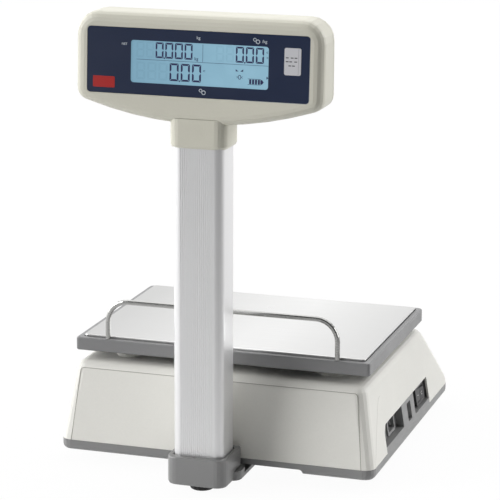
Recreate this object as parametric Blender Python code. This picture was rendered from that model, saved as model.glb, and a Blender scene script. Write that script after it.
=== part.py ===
"""Retail price scale: a bench scale with a customer display on a column.

Metres, +Z up, floor at z = 0. The customer stands on the -Y side and the operator on the +Y side.
The origin is on the floor, in the middle of the object's outline.
"""

import math

import bmesh
import bpy
import numpy as np
from mathutils import Matrix, Vector

GAP = 0.0003  # between pieces that rest on each other
WALL = 0.0025  # moulded shells
BITE = 0.001  # how far joined shapes run into each other
REACH = 0.01  # how far a cutter runs past the face that it opens
SMALLEST_R = 0.0015

# Base: tray, cover and the seam between them
BASE_HALF_WIDTH = 0.1813
BASE_CUSTOMER_Y = -0.1511
BASE_OPERATOR_Y = 0.2141
BASE_CORNERS = (0.012, 0.012, 0.020, 0.020)
TRAY_BOTTOM_Z = 0.0132
TRAY_FLOOR = 0.003
TRAY_EDGE_R = 0.005
SEAM_Z = 0.02495
COVER_TOP_Z = 0.1142
COVER_EDGE_R = 0.010
SIDE_LEAN = 0.164
CUSTOMER_LEAN = 0.149
KNEE = (0.2135, 0.0320)
KNEE_R = 0.012
BROW_R = 0.020
BROW_SHARE = 0.2  # of the edge rounding, taken over on the operator side
SLOPE_FOOT = (0.2090, 0.0362)
SLOPE_HEAD = (0.1340, 0.1062)
TOP_CUT_Z = (0.100, 0.130)  # cutters through the cover's top

# Customer-side panel and the notch in the tray below it
PANEL_HALF_WIDTHS = (0.1680, 0.1600)
PANEL_TOP_Z = 0.1070
PANEL_SEAM = 0.0004
PANEL_TOP_R = 0.004
PANEL_CUT = 0.0115
NOTCH_X = (0.030, 0.102)
NOTCH_Z = 0.0187
NOTCH_R = 0.004
NOTCH_DEPTH = 0.026

# Service block in the +X side
SERVICE_Y = (-0.087, 0.112)
SERVICE_TOP_Z = 0.0567
SERVICE_DEPTH = 0.024
SERVICE_CHAMFER = 0.008
SERVICE_CUT = 0.012
SERVICE_FLANGE = (0.006, 0.020)  # how far the block spreads behind the cover, and its foot
WINDOW_R = 0.0015
SEAT_R = 0.0008
INLET_WINDOW = ((-0.092, 0.0320), (-0.008, 0.0570), 0.009)
PORT_WINDOW = ((0.014, 0.0312), (0.030, 0.0522), 0.006)
SWITCH_WINDOW = ((0.046, 0.0310), (0.117, 0.0570), 0.007)
INLET_CENTRE = (-0.036, 0.0440)
INLET_SIZE = (0.030, 0.022)
INLET_BODY = (0.0070, 0.024)
INLET_SOCKET = (0.024, 0.016, 0.016)
INLET_BLADES = ((-0.007, -0.002), (0.0, 0.002), (0.007, -0.002))
INLET_BLADE = (0.002, 0.004)
PORT_CENTRE = (0.022, 0.0410)
PORT_SIZE = (0.0140, 0.0130)
PORT_BODY = (0.0050, 0.015)
PORT_SOCKET = (0.0110, 0.0090, 0.011)
SWITCH_CENTRE = (0.086, 0.0430)
SWITCH_SIZE = (0.034, 0.022)
ROCKER_SIZE = (0.026, 0.014)
ROCKER_THROW = math.radians(14)
ROCKER_SECTION = (
    (-0.0080, -0.0040),
    (0.0080, -0.0040),
    (0.0124, 0.0045),
    (0.0124, 0.0070),
    (0.0, 0.0060),
    (-0.0124, 0.0070),
    (-0.0124, 0.0045),
)
SWITCH_FACE = 0.0035
SWITCH_BODY = 0.018
SWITCH_WELL = (0.0008, 0.013)
ROCKER_AXIS_DEPTH = 0.0095

# Operator panel on the sloping face: width and length along the slope
OPERATOR_PANEL = (0.300, 0.088)
OPERATOR_WINDOW = ((-0.095, -0.0400), (0.095, -0.0130))
OPERATOR_BOARD = (0.010, 0.006, 0.012)  # how far the board spreads past the window
PANEL_R = 0.004
PANEL_DEPTH = 0.0012
LCD_MARGIN = 0.003
LCD_THICKNESS = 0.0035
LCD_CUT = 0.012
BOARD_THICKNESS = 0.0016
BACKLIGHT_THICKNESS = 0.003

# Weighing: pan, carrier and what is under them
PAN_CENTRE_Y = -0.006
PLATTER_HALF = (0.1625, 0.1150)
PLATTER_TOP_Z = 0.1410
PLATTER_SHEET = 0.0012
PLATTER_CORNER = 0.0035
PLATTER_EDGE = ((0.0012, 0.0), (0.0003, 0.0004), (0.0, 0.0012))  # inset and drop of its top edge
PLATTER_BEND = 0.0006
CARRIER_BORDER = 0.0072
CARRIER_Z = (0.1239, 0.1385)
CARRIER_POCKET_Z = 0.1360
CARRIER_POCKET_MARGIN = 0.0008
CARRIER_CORNERS = (0.003, 0.003, 0.006, 0.006)
CARRIER_RIM = ((0.0013, 0.0), (0.0004, 0.0005), (0.0, 0.0015))  # inset and drop of its top edge
CARRIER_WALL = 0.005
CARRIER_ROOF = 0.003
CARRIER_BOSS = (0.010, 0.011)
POST_X = 0.118
POST_Y = (-0.092, 0.080)
POST_R = 0.006
POST_FOOT_R = 0.009
FRAME_PLATE = ((-0.064, -0.040), (0.066, 0.028))
FRAME_ARM = (0.014, 0.003)
FRAME_ARM_ROOT = (0.050, 0.3)  # x, and the share of the post's y
COLLAR_R = 0.015
COLLAR_BORE = 0.0105
COLLAR_TOP_Z = 0.1200
CUSHION_R = 0.009
CUSHION_Z = (0.1190, 0.1236)
FRAME_Z = (0.0603, 0.0663)
CELL_SIZE = (0.130, 0.030, 0.022)
CELL_BOTTOM_Z = 0.0320
SPACER_X = (0.032, 0.063)
GAUGE_HOLE = (0.014, 0.0075)

# Guard rail
RAIL_R = 0.00285
RAIL_X = 0.1325
RAIL_Y = -0.1246
RAIL_TOP_Z = 0.1827
RAIL_BEND = 0.024
TENON_R = 0.0020
TENON_LENGTH = 0.0075
TENON_HOLE = 0.010
RAIL_BOSS_R = 0.0031

# Column and the bracket that holds it
COLUMN_HALF_WIDTH = 0.02825
COLUMN_Y = (-0.2063, -0.1600)
COLUMN_CORNER = 0.0065
COLUMN_WALL = 0.0025
COLUMN_Z = (0.0143, 0.4010)
GROOVE_COUNT = 16
GROOVE_SPAN = 0.0188
GROOVE = (0.0012, 0.0006)
PORT = ((0.0218, -0.1663), 0.0045, 0.00205)
BRACKET_HALF_WIDTH = 0.0336
BRACKET_Y = (-0.2141, -0.1540)
BRACKET_Z = (0.0086, 0.0405)
BRACKET_CORNERS = (0.012, 0.012, 0.004, 0.004)
BRACKET_FOOT_EDGE = ((0.0030, 0.0), (0.0009, 0.0009), (0.0, 0.0030))  # inset and rise
BRACKET_RIM = ((0.0, 0.0015), (0.0005, 0.0005), (0.0015, 0.0))  # inset and drop
TONGUE = ((-0.0395, -0.176), (0.0395, -0.095))
TONGUE_LOBE = ((-0.0395, -0.182), (0.0395, -0.1520), 0.0183)  # in front of the tray, and its top
TONGUE_R = 0.010
COLUMN_CLEARANCE = 0.0007

# Display head
HEAD_HALF_WIDTH = 0.1355
HEAD_TOP_Z = 0.5162
HEAD_LOW_Z = 0.4022
HEAD_BELLY_R = 0.403
HEAD_TOP_R = 0.024
HEAD_LOW_R = 0.014
HEAD_EDGE_R = 0.010
HEAD_INSIDE_EDGE = ((0.0045, 0.002), (0.008, 0.0))  # inset, and distance behind the wall
HEAD_SEAM_Y = -0.1667
HEAD_BACK_Y = -0.1560
HEAD_BACK_R = 0.007
FACE_FOOT_Y = -0.2086
FACE_LEAN = math.tan(math.radians(3.5))
NECK_HALF_WIDTH = 0.0315
NECK_BACK_Y = -0.1567
NECK_SETBACK = 0.0007
NECK_Z = (0.3767, 0.4090)
NECK_CORNER = 0.0115
NECK_EDGE = ((0.004, 0.0), (0.0012, 0.0012), (0.0, 0.004))  # inset and rise
NECK_WINDOW = ((-0.018, -0.198), (0.018, -0.168))
NECK_LUG = ((0.030, -0.195), (0.0355, -0.175))
NECK_LUG_Z = 0.4070
OVERLAY = ((-0.1217, 0.4317), (0.1217, 0.5012))
OVERLAY_R = 0.004
OVERLAY_DEPTH = 0.0012
LCD_WINDOW = ((-0.0730, 0.4442), (0.0774, 0.4884))
LCD_WINDOW_R = 0.003
CUSTOMER_BOARD = (0.012, 0.008)  # how far the board spreads past the window
HEAD_SCREWS = ((-0.118, 0.498), (0.118, 0.498), (-0.100, 0.4280), (0.100, 0.4280))
HEAD_BOSS_R = 0.004
HEAD_BORE = 0.012
HEAD_BOSS_REACH = 0.004  # past the head's seam
HEAD_SEAM_SHARE = 0.004

# Feet: wheel with a threaded stud, and the places they stand
FOOT_PLACES = ((0.0, -0.188), (-0.140, -0.076), (0.140, -0.076), (-0.140, 0.169), (0.140, 0.169))
FOOT_STUD_TOPS = (0.024, 0.030, 0.030, 0.030, 0.030)
FOOT_HEIGHT = 0.0070
FOOT_PROFILE = (  # radius, height and depth of the ridges
    (0.0118, 0.0, 0.0),
    (0.0130, 0.0008, 0.0),
    (0.0135, 0.0016, 0.0006),
    (0.0135, 0.0062, 0.0006),
    (0.0125, 0.0070, 0.0),
)
FOOT_HOLE_Z = 0.0040
STUD_R = 0.0040
STUD_CLEARANCE = 0.0004
FOOT_RIDGES = 16
TRAY_BOSS_R = 0.0080
TRAY_BOSS_TOP_Z = 0.0270

# Fasteners and electronics
COVER_SCREWS = ((-0.150, -0.120), (0.150, -0.120), (-0.150, 0.145), (0.150, 0.145))
COVER_BOSS_R = 0.0050
COVER_BOSS_TOPS = (0.1125, 0.1125, 0.0905, 0.0905)
COVER_BORE_TOP_Z = 0.040
SCREW_HEAD = ((0.0022, 0.0), (0.0036, 0.0011), (0.0036, 0.0022), (0.0016, 0.0022))  # radius and rise
COVER_SCREW_LENGTH = 0.020
COLUMN_SCREW_LENGTH = 0.022
HEAD_SCREW_LENGTH = 0.008  # past the head's seam
SCREW_SHAFT_R = 0.0016
SCREW_HOLE_R = 0.0020
MAIN_BOARD = ((-0.060, 0.125, 0.0260), (0.100, 0.183, 0.0276))
TRANSFORMER_CORE = ((0.082, 0.020, 0.0165), (0.130, 0.060, 0.0520))
TRANSFORMER_WINDING = ((0.088, 0.012, 0.0230), (0.124, 0.068, 0.0460))
BATTERY = ((-0.135, 0.005, 0.0165), (-0.085, 0.100, 0.0560))
PILLAR_INSET = 0.006
PILLAR_R = 0.003
LEVEL_PLACE = (-0.060, 0.090)
LEVEL_R = 0.009
LEVEL_Z = (0.1082, 0.1172)
CABLE_R = 0.0020
CABLE_HOLE_R = 0.0032
CABLE_HOLE = (0.010, 0.0200)
CABLE_BORE_Y = (-0.175, -0.140)
CABLE_ROUTE = (
    (0.010, -0.176, 0.430),
    (0.010, -0.176, 0.060),
    (0.010, -0.174, 0.030),
    (0.010, -0.168, 0.021),
    (0.010, -0.158, 0.020),
    (0.010, -0.125, 0.020),
    (0.018, -0.110, 0.020),
    (0.040, -0.102, 0.020),
    (0.075, -0.088, 0.020),
    (0.078, -0.050, 0.020),
    (0.078, 0.080, 0.020),
    (0.070, 0.105, 0.020),
    (0.040, 0.116, 0.022),
    (0.020, 0.120, 0.032),
)


# ---------------------------------------------------------------- helpers


def clear_scene():
    for obj in list(bpy.data.objects):
        bpy.data.objects.remove(obj)


def material(name, colour, roughness, metallic=0.0):
    result = bpy.data.materials.new(name)
    result.use_nodes = True
    shader = result.node_tree.nodes["Principled BSDF"]
    shader.inputs["Base Color"].default_value = (*colour, 1.0)
    shader.inputs["Roughness"].default_value = roughness
    shader.inputs["Metallic"].default_value = metallic
    return result


def arc(centre, radius, start, end, steps):
    """Points along an arc, from one angle in degrees to another."""
    angles = np.radians(np.linspace(start, end, steps + 1))
    return [(centre[0] + radius * math.cos(a), centre[1] + radius * math.sin(a)) for a in angles]


def circle(centre, radius, steps):
    return arc(centre, radius, 0, 360, steps)[:-1]


def rounded(low, high, radii, steps=4):
    """A rectangle's outline, counter-clockwise from its low corner, with a radius for each corner."""
    first, second, third, fourth = radii if isinstance(radii, tuple) else (radii,) * 4
    points = arc((low[0] + first, low[1] + first), first, 180, 270, steps)
    points += arc((high[0] - second, low[1] + second), second, 270, 360, steps)
    points += arc((high[0] - third, high[1] - third), third, 0, 90, steps)
    points += arc((low[0] + fourth, high[1] - fourth), fourth, 90, 180, steps)
    return points


def filleted(corners, radii, steps=4):
    """A closed outline through the corners, each rounded by its own radius; 0 keeps it sharp."""
    points = []
    for i, radius in enumerate(radii):
        here = Vector(corners[i])
        if radius == 0:
            points.append(tuple(here))
            continue
        back = (Vector(corners[i - 1]) - here).normalized()
        ahead = (Vector(corners[(i + 1) % len(corners)]) - here).normalized()
        half = back.angle(ahead) / 2
        centre = here + (back + ahead).normalized() * (radius / math.sin(half))
        start = here + back * (radius / math.tan(half)) - centre
        end = here + ahead * (radius / math.tan(half)) - centre
        first = math.atan2(start.y, start.x)
        turn = (math.atan2(end.y, end.x) - first + math.pi) % math.tau - math.pi
        points += arc(centre, radius, math.degrees(first), math.degrees(first + turn), steps)
    return points


def loft(name, rings, paint=None, looped=False):
    """A closed body through rings of equal size. Its two end rings are filled, or joined if looped."""
    count = len(rings[0])
    vertices = [point for ring in rings for point in ring]
    faces = []
    for k in range(len(rings) if looped else len(rings) - 1):
        low = k * count
        high = (k + 1) % len(rings) * count
        for i in range(count):
            j = (i + 1) % count
            faces.append((low + i, low + j, high + j, high + i))
    if not looped:
        faces.append(tuple(range(count))[::-1])
        faces.append(tuple(range(len(vertices) - count, len(vertices))))
    mesh = bpy.data.meshes.new(name)
    mesh.from_pydata(vertices, [], faces)
    tidy = bmesh.new()
    tidy.from_mesh(mesh)
    bmesh.ops.recalc_face_normals(tidy, faces=tidy.faces)
    tidy.to_mesh(mesh)
    tidy.free()
    if paint:
        mesh.materials.append(paint)
    obj = bpy.data.objects.new(name, mesh)
    bpy.context.scene.collection.objects.link(obj)
    return obj


def flat(outline, z):
    return [(x, y, z) for x, y in outline]


def prism(name, outline, low, high, paint=None):
    """An outline in X and Y, raised from one height to another."""
    return loft(name, [flat(outline, low), flat(outline, high)], paint)


def slab(name, outline, place, near, far, paint=None):
    """An outline laid on a surface by place(u, v, depth), from one depth to another."""
    rings = [[place(u, v, depth) for u, v in outline] for depth in (near, far)]
    return loft(name, rings, paint)


def turned(name, centre, profile, paint=None, steps=20):
    """A turned body on a vertical axis, through (radius, height) pairs."""
    return loft(name, [flat(circle(centre, r, steps), z) for r, z in profile], paint)


def rod(name, place, radius, low, high, steps=20):
    """A plain upright cylinder."""
    return turned(name, place, ((radius, low), (radius, high)), steps=steps)


def block(name, low, high, paint=None, bevel=0.0):
    outline = [low[:2], (high[0], low[1]), high[:2], (low[0], high[1])]
    obj = prism(name, outline, low[2], high[2], paint)
    if bevel:
        edit = bmesh.new()
        edit.from_mesh(obj.data)
        bmesh.ops.bevel(edit, geom=edit.edges[:], offset=bevel, segments=1, affect="EDGES")
        edit.to_mesh(obj.data)
        edit.free()
    return obj


def combined(target, others, operation):
    """Applies a Boolean with each of the others, and removes them."""
    for other in others:
        modifier = target.modifiers.new("boolean", "BOOLEAN")
        modifier.operation = operation
        modifier.object = other
        graph = bpy.context.evaluated_depsgraph_get()
        mesh = bpy.data.meshes.new_from_object(target.evaluated_get(graph))
        target.modifiers.clear()
        target.data = mesh
        bpy.data.objects.remove(other)
    return target


def cut(target, *others):
    return combined(target, others, "DIFFERENCE")


def joined(target, *others):
    return combined(target, others, "UNION")


def kept(target, other):
    return combined(target, [other], "INTERSECT")


def seated(obj, origin, parent, smooth=32):
    """Gives the piece an origin of its own and a parent, and smooths its round faces."""
    obj.data.transform(Matrix.Translation(-Vector(origin)))
    obj.data.name = obj.name
    obj.data.shade_smooth()
    obj.data.set_sharp_from_angle(angle=math.radians(smooth))
    obj.parent = parent
    obj.location = Vector(origin) - place_of(parent)
    return obj


def place_of(empty):
    """Where an empty is in the world. None of them is turned."""
    return empty.location + place_of(empty.parent) if empty else Vector()


def pivot(name, location, parent=None):
    empty = bpy.data.objects.new(name, None)
    bpy.context.scene.collection.objects.link(empty)
    empty.parent = parent
    empty.location = Vector(location) - place_of(parent)
    return empty


# ---------------------------------------------------------------- surfaces that pieces are laid on


def along_y(x, z, y):
    """Lays an outline in X and Z at a depth along Y."""
    return (x, y, z)


def on_side(y, z, depth):
    """A point on the +X wall of the cover, which leans in as it rises."""
    return (BASE_HALF_WIDTH - SIDE_LEAN * (z - SEAM_Z) - depth, y, z)


def on_customer_side(x, z, depth):
    return (x, BASE_CUSTOMER_Y + CUSTOMER_LEAN * (z - SEAM_Z) + depth, z)


def on_face(x, z, depth):
    """A point on the head's display face, which leans back as it rises."""
    return (x, FACE_FOOT_Y + FACE_LEAN * (z - HEAD_LOW_Z) + depth, z)


def on_slope(x, along, depth):
    """A point on the operator's slope. Along runs downhill from the slope's middle."""
    foot, head = Vector(SLOPE_FOOT), Vector(SLOPE_HEAD)
    downhill = (foot - head).normalized()
    outward = Vector((-downhill.y, downhill.x))
    y, z = (foot + head) / 2 + downhill * along - outward * depth
    return (x, y, z)


# ---------------------------------------------------------------- base


def operator_y(z, inset):
    """How far the operator side reaches at this height: a short wall, a knee, the slope and a brow."""
    brow_y = SLOPE_HEAD[0] - (COVER_TOP_Z - SLOPE_HEAD[1]) * (SLOPE_FOOT[0] - SLOPE_HEAD[0]) / (
        SLOPE_HEAD[1] - SLOPE_FOOT[1]
    )
    corners = [(BASE_OPERATOR_Y, 0.0), KNEE, (brow_y, COVER_TOP_Z), (0.0, COVER_TOP_Z), (0.0, 0.0)]
    profile = filleted(corners, (0, KNEE_R, BROW_R, 0, 0), 6)[:-2]
    heights = [point[1] for point in profile]
    reaches = [point[0] for point in profile]
    slant = math.hypot(1.0, (SLOPE_FOOT[0] - SLOPE_HEAD[0]) / (SLOPE_HEAD[1] - SLOPE_FOOT[1]))
    on_slant = z > KNEE[1]
    return float(np.interp(z, heights, reaches)) - inset * (slant if on_slant else 1.0)


def posts():
    """The four places in plan where the load frame carries the pan."""
    return [(x, y) for x in (-POST_X, POST_X) for y in POST_Y]


def cover_ring(z, inset, edge):
    """The cover's outline at a height, moved in by the wall and by the rounding of its top edge."""
    x = on_side(0.0, z, inset + edge)[0]
    low = (-x, on_customer_side(0.0, z, inset + edge)[1])
    high = (x, operator_y(z, inset) - BROW_SHARE * edge)
    radii = tuple(max(r - inset - edge, SMALLEST_R) for r in BASE_CORNERS[:2])
    radii += tuple(r - inset - 0.5 * edge for r in BASE_CORNERS[2:])
    return flat(rounded(low, high, radii), z)


def cover_rings(inset, steps):
    edge_r = COVER_EDGE_R - inset
    top = COVER_TOP_Z - inset
    rings = [cover_ring(z, inset, 0.0) for z in (SEAM_Z + GAP, KNEE[1], SLOPE_FOOT[1])]
    for angle in np.radians(np.linspace(0, 90, steps + 1)):
        edge = edge_r * (1 - math.cos(angle))
        rings.append(cover_ring(top - edge_r * (1 - math.sin(angle)), inset, edge))
    return rings


def customer_panel_outline(margin):
    foot = SEAM_Z - 2 * GAP
    corners = [
        (-PANEL_HALF_WIDTHS[0] + margin, foot),
        (PANEL_HALF_WIDTHS[0] - margin, foot),
        (PANEL_HALF_WIDTHS[1] - margin, PANEL_TOP_Z - margin),
        (-PANEL_HALF_WIDTHS[1] + margin, PANEL_TOP_Z - margin),
    ]
    return filleted(corners, (0, 0, PANEL_TOP_R - margin, PANEL_TOP_R - margin))


def service_outline(margin, foot):
    """The notch in the cover's side, with its upper corner on the customer side cut off."""
    low, high = SERVICE_Y[0] + margin, SERVICE_Y[1] - margin
    top = SERVICE_TOP_Z - margin
    chamfer = [(low + SERVICE_CHAMFER, top), (low, top - SERVICE_CHAMFER)]
    corners = [(low, foot), (high, foot), (high, top)] + chamfer
    return filleted(corners, (0, 0, PANEL_TOP_R / 2, PANEL_TOP_R, PANEL_TOP_R))


def top_cover(paint, parent):
    """The cream cover: a shell with the operator's slope, four collars and its cut-outs."""
    cover = loft("top_cover", cover_rings(0.0, 5)[::-1] + cover_rings(WALL, 3), paint)
    for place, top in zip(COVER_SCREWS, COVER_BOSS_TOPS):
        joined(cover, rod("boss", place, COVER_BOSS_R, SEAM_Z + BITE, top, 12))
        cut(cover, rod("bore", place, SCREW_HOLE_R, 0.0, COVER_BORE_TOP_Z, 10))
    for place in posts():
        collar = ((COLLAR_R + BITE, COVER_TOP_Z - BITE), (COLLAR_R, COLLAR_TOP_Z - BITE))
        collar += ((COLLAR_R - BITE, COLLAR_TOP_Z),)
        joined(cover, turned("collar", place, collar))
        cut(cover, rod("hole", place, COLLAR_BORE, *TOP_CUT_Z))
    cut(cover, slab("opening", customer_panel_outline(0.0), on_customer_side, -REACH, PANEL_CUT))
    cut(cover, slab("notch", service_outline(0.0, SEAM_Z - REACH), on_side, -REACH, SERVICE_CUT))
    width, length = (side / 2 for side in OPERATOR_PANEL)
    recess = rounded((-width, -length), (width, length), PANEL_R)
    cut(cover, slab("recess", recess, on_slope, -REACH, PANEL_DEPTH))
    cut(cover, slab("window", lcd_outline(OPERATOR_WINDOW, LCD_MARGIN), on_slope, -REACH, REACH))
    cut(cover, rod("level_seat", LEVEL_PLACE, LEVEL_R + GAP, *TOP_CUT_Z))
    return seated(cover, (0.0, 0.0, SEAM_Z), parent)


def customer_panel(paint, parent):
    """The flush panel in the cover's customer side."""
    panel = loft("customer_panel", cover_rings(0.0, 5)[::-1] + cover_rings(WALL, 3), paint)
    outline = customer_panel_outline(PANEL_SEAM)
    kept(panel, slab("outline", outline, on_customer_side, -REACH, PANEL_CUT - PANEL_SEAM))
    return seated(panel, (0.0, BASE_CUSTOMER_Y, SEAM_Z), parent)


def tray_ring(z, inset):
    low = (-BASE_HALF_WIDTH + inset, BASE_CUSTOMER_Y + inset)
    high = (BASE_HALF_WIDTH - inset, BASE_OPERATOR_Y - inset)
    return flat(rounded(low, high, tuple(r - inset for r in BASE_CORNERS)), z)


def service_block(paint):
    """The grey block in the side notch, behind which the sockets and the switch sit."""
    spread, foot = SERVICE_FLANGE
    low, high = SERVICE_Y[0] - spread, SERVICE_Y[1] + spread
    top = SERVICE_TOP_Z + spread
    behind = [(low, foot), (high, foot), (high, top), (low, top)]
    body = slab("service_block", behind, on_side, WALL + PANEL_SEAM, SERVICE_DEPTH, paint)
    flush = service_outline(PANEL_SEAM, SEAM_Z - GAP)
    joined(body, slab("flush", flush, on_side, 0.0, WALL + PANEL_SEAM + BITE))
    for low, high, depth in (INLET_WINDOW, PORT_WINDOW, SWITCH_WINDOW):
        cut(body, slab("window", rounded(low, high, WINDOW_R, 2), on_side, -REACH, depth))
    seats = ((INLET_CENTRE, INLET_SIZE), (PORT_CENTRE, PORT_SIZE), (SWITCH_CENTRE, SWITCH_SIZE))
    for centre, size in seats:
        seat = rounded(*centred(centre, size, GAP), SEAT_R, 2)
        cut(body, slab("seat", seat, on_side, BITE, SERVICE_DEPTH + REACH))
    return body


def centred(centre, size, margin=0.0):
    """The two corners of a rectangle about a centre, grown by a margin."""
    half = (size[0] / 2 + margin, size[1] / 2 + margin)
    return (centre[0] - half[0], centre[1] - half[1]), (centre[0] + half[0], centre[1] + half[1])


def base_tray(paint, parent):
    """The grey tray: floor, low wall, foot bosses, board pillars and the service block."""
    rings = []
    for angle in np.radians((90, 60, 30, 0)):
        inset = TRAY_EDGE_R * (1 - math.cos(angle))
        rings.append(tray_ring(TRAY_BOTTOM_Z + TRAY_EDGE_R * (1 - math.sin(angle)), inset))
    floor_z = TRAY_BOTTOM_Z + TRAY_FLOOR
    rings += [tray_ring(SEAM_Z, 0.0), tray_ring(SEAM_Z, WALL), tray_ring(floor_z, WALL)]
    tray = loft("base_tray", rings, paint)
    joined(tray, service_block(paint))
    for place in FOOT_PLACES[1:]:
        joined(tray, rod("boss", place, TRAY_BOSS_R, floor_z - BITE, TRAY_BOSS_TOP_Z))
        cut(tray, rod("thread", place, STUD_R + STUD_CLEARANCE, 0.0, TRAY_BOSS_TOP_Z + REACH))
    (x0, y0, z0), (x1, y1, _) = MAIN_BOARD
    for x in (x0 + PILLAR_INSET, x1 - PILLAR_INSET):
        for y in (y0 + PILLAR_INSET, y1 - PILLAR_INSET):
            joined(tray, rod("pillar", (x, y), PILLAR_R, floor_z - BITE, z0 - GAP, 10))
    for place in COVER_SCREWS:
        cut(tray, rod("hole", place, SCREW_HOLE_R, 0.0, SEAM_Z, 10))
    low, high = NOTCH_X
    corners = [(low, 0.0), (high, 0.0), (high, NOTCH_Z), (low, NOTCH_Z)]
    notch = filleted(corners, (0, 0, NOTCH_R, NOTCH_R))
    start = BASE_CUSTOMER_Y
    end = start + NOTCH_DEPTH
    roof = (low - WALL, start + BITE, floor_z - BITE), (high + WALL, end + WALL, NOTCH_Z + WALL)
    joined(tray, block("notch_roof", *roof))
    cut(tray, slab("notch", notch, along_y, start - REACH, end))
    cut(tray, cable_bore())
    return seated(tray, (0.0, 0.0, TRAY_BOTTOM_Z), parent)


def cable_bore():
    """The cutter for the passage of the display cable, along Y from the column into the tray."""
    return slab("bore", circle(CABLE_HOLE, CABLE_HOLE_R, 12), along_y, *CABLE_BORE_Y)


# ---------------------------------------------------------------- operator panel


def lcd_outline(window, margin):
    (x0, y0), (x1, y1) = window
    return rounded((x0 - margin, y0 - margin), (x1 + margin, y1 + margin), SEAT_R, 1)


def keypad_panel(paint, parent):
    """The membrane keypad, with the opening for the operator's display."""
    width, length = (side / 2 - PANEL_SEAM for side in OPERATOR_PANEL)
    outer = rounded((-width, -length), (width, length), PANEL_R - PANEL_SEAM)
    inner = rounded(*OPERATOR_WINDOW, WINDOW_R)
    rings = [[on_slope(u, v, depth) for u, v in outer] for depth in (0.0, PANEL_DEPTH - GAP)]
    rings += [[on_slope(u, v, depth) for u, v in inner] for depth in (PANEL_DEPTH - GAP, 0.0)]
    return seated(loft("keypad_panel", rings, paint, looped=True), on_slope(0.0, 0.0, 0.0), parent)


def operator_display(paint, board_paint, parent):
    outline = lcd_outline(OPERATOR_WINDOW, LCD_MARGIN - GAP)
    behind = PANEL_DEPTH + LCD_THICKNESS
    glass = slab("operator_lcd", outline, on_slope, PANEL_DEPTH, behind, paint)
    (x0, y0), (x1, y1) = OPERATOR_WINDOW
    spread, low_spread, high_spread = OPERATOR_BOARD
    outline = rounded((x0 - spread, y0 - low_spread), (x1 + spread, y1 + high_spread), WINDOW_R, 1)
    near = behind + GAP
    board = slab("operator_display_board", outline, on_slope, near, near + BOARD_THICKNESS, board_paint)
    middle = (0.0, (y0 + y1) / 2)
    seated(glass, on_slope(*middle, PANEL_DEPTH), parent)
    seated(board, on_slope(*middle, near), parent)


# ---------------------------------------------------------------- service side


def power_inlet(paint, parent):
    """The mains inlet: a moulded body whose socket holds three blades."""
    outline = rounded(*centred(INLET_CENTRE, INLET_SIZE), 2 * SEAT_R, 2)
    face, length = INLET_BODY
    inlet = slab("power_inlet", outline, on_side, face, face + length, paint)
    width, height, depth = INLET_SOCKET
    radii = (SEAT_R, SEAT_R, PANEL_R, PANEL_R)
    socket = rounded(*centred(INLET_CENTRE, (width, height)), radii, 2)
    cut(inlet, slab("socket", socket, on_side, 0.0, face + depth))
    y, z = INLET_CENTRE
    for blade_y, blade_z in INLET_BLADES:
        blade = rounded(*centred((y + blade_y, z + blade_z), INLET_BLADE), PANEL_SEAM, 1)
        joined(inlet, slab("blade", blade, on_side, face + 3 * BITE, face + depth + BITE))
    return seated(inlet, on_side(*INLET_CENTRE, face), parent)


def serial_port(paint, parent):
    outline = rounded(*centred(PORT_CENTRE, PORT_SIZE), SEAT_R, 1)
    face, length = PORT_BODY
    port = slab("serial_port", outline, on_side, face, face + length, paint)
    width, height, depth = PORT_SOCKET
    socket = rounded(*centred(PORT_CENTRE, (width, height)), PANEL_SEAM, 1)
    cut(port, slab("socket", socket, on_side, 0.0, face + depth))
    return seated(port, on_side(*PORT_CENTRE, face), parent)


def power_switch(frame_paint, rocker_paint, parent, rocker_parent):
    """A rocker switch, pressed in on its customer-side half, and the frame that it turns in."""
    outline = rounded(*centred(SWITCH_CENTRE, SWITCH_SIZE), WINDOW_R, 2)
    behind = SWITCH_FACE + SWITCH_BODY
    frame = slab("switch_frame", outline, on_side, SWITCH_FACE, behind, frame_paint)
    margin, depth = SWITCH_WELL
    well = rounded(*centred(SWITCH_CENTRE, ROCKER_SIZE, margin), SEAT_R, 1)
    cut(frame, slab("well", well, on_side, 0.0, SWITCH_FACE + depth))
    seated(frame, on_side(*SWITCH_CENTRE, SWITCH_FACE), parent)
    rest, lean = -ROCKER_THROW / 2, math.atan(SIDE_LEAN)
    half = ROCKER_SIZE[1] / 2
    rings = []
    for rise in (-half, half):
        ring = []
        for along, out in ROCKER_SECTION:
            reach = out * math.cos(rest) - along * math.sin(rest)
            slid = along * math.cos(rest) + out * math.sin(rest)
            ring.append((reach * math.cos(lean) - rise * math.sin(lean), slid, rise))
        rings.append(ring)
    rocker = loft("power_rocker", rings, rocker_paint)
    rocker.parent = rocker_parent
    rocker.data.shade_smooth()
    rocker.data.set_sharp_from_angle(angle=math.radians(5))
    return rocker


# ---------------------------------------------------------------- weighing parts


def pan_ring(border, radii, z):
    low = (-PLATTER_HALF[0] - border, PAN_CENTRE_Y - PLATTER_HALF[1] - border)
    high = (PLATTER_HALF[0] + border, PAN_CENTRE_Y + PLATTER_HALF[1] + border)
    return flat(rounded(low, high, radii, 3), z)


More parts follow.
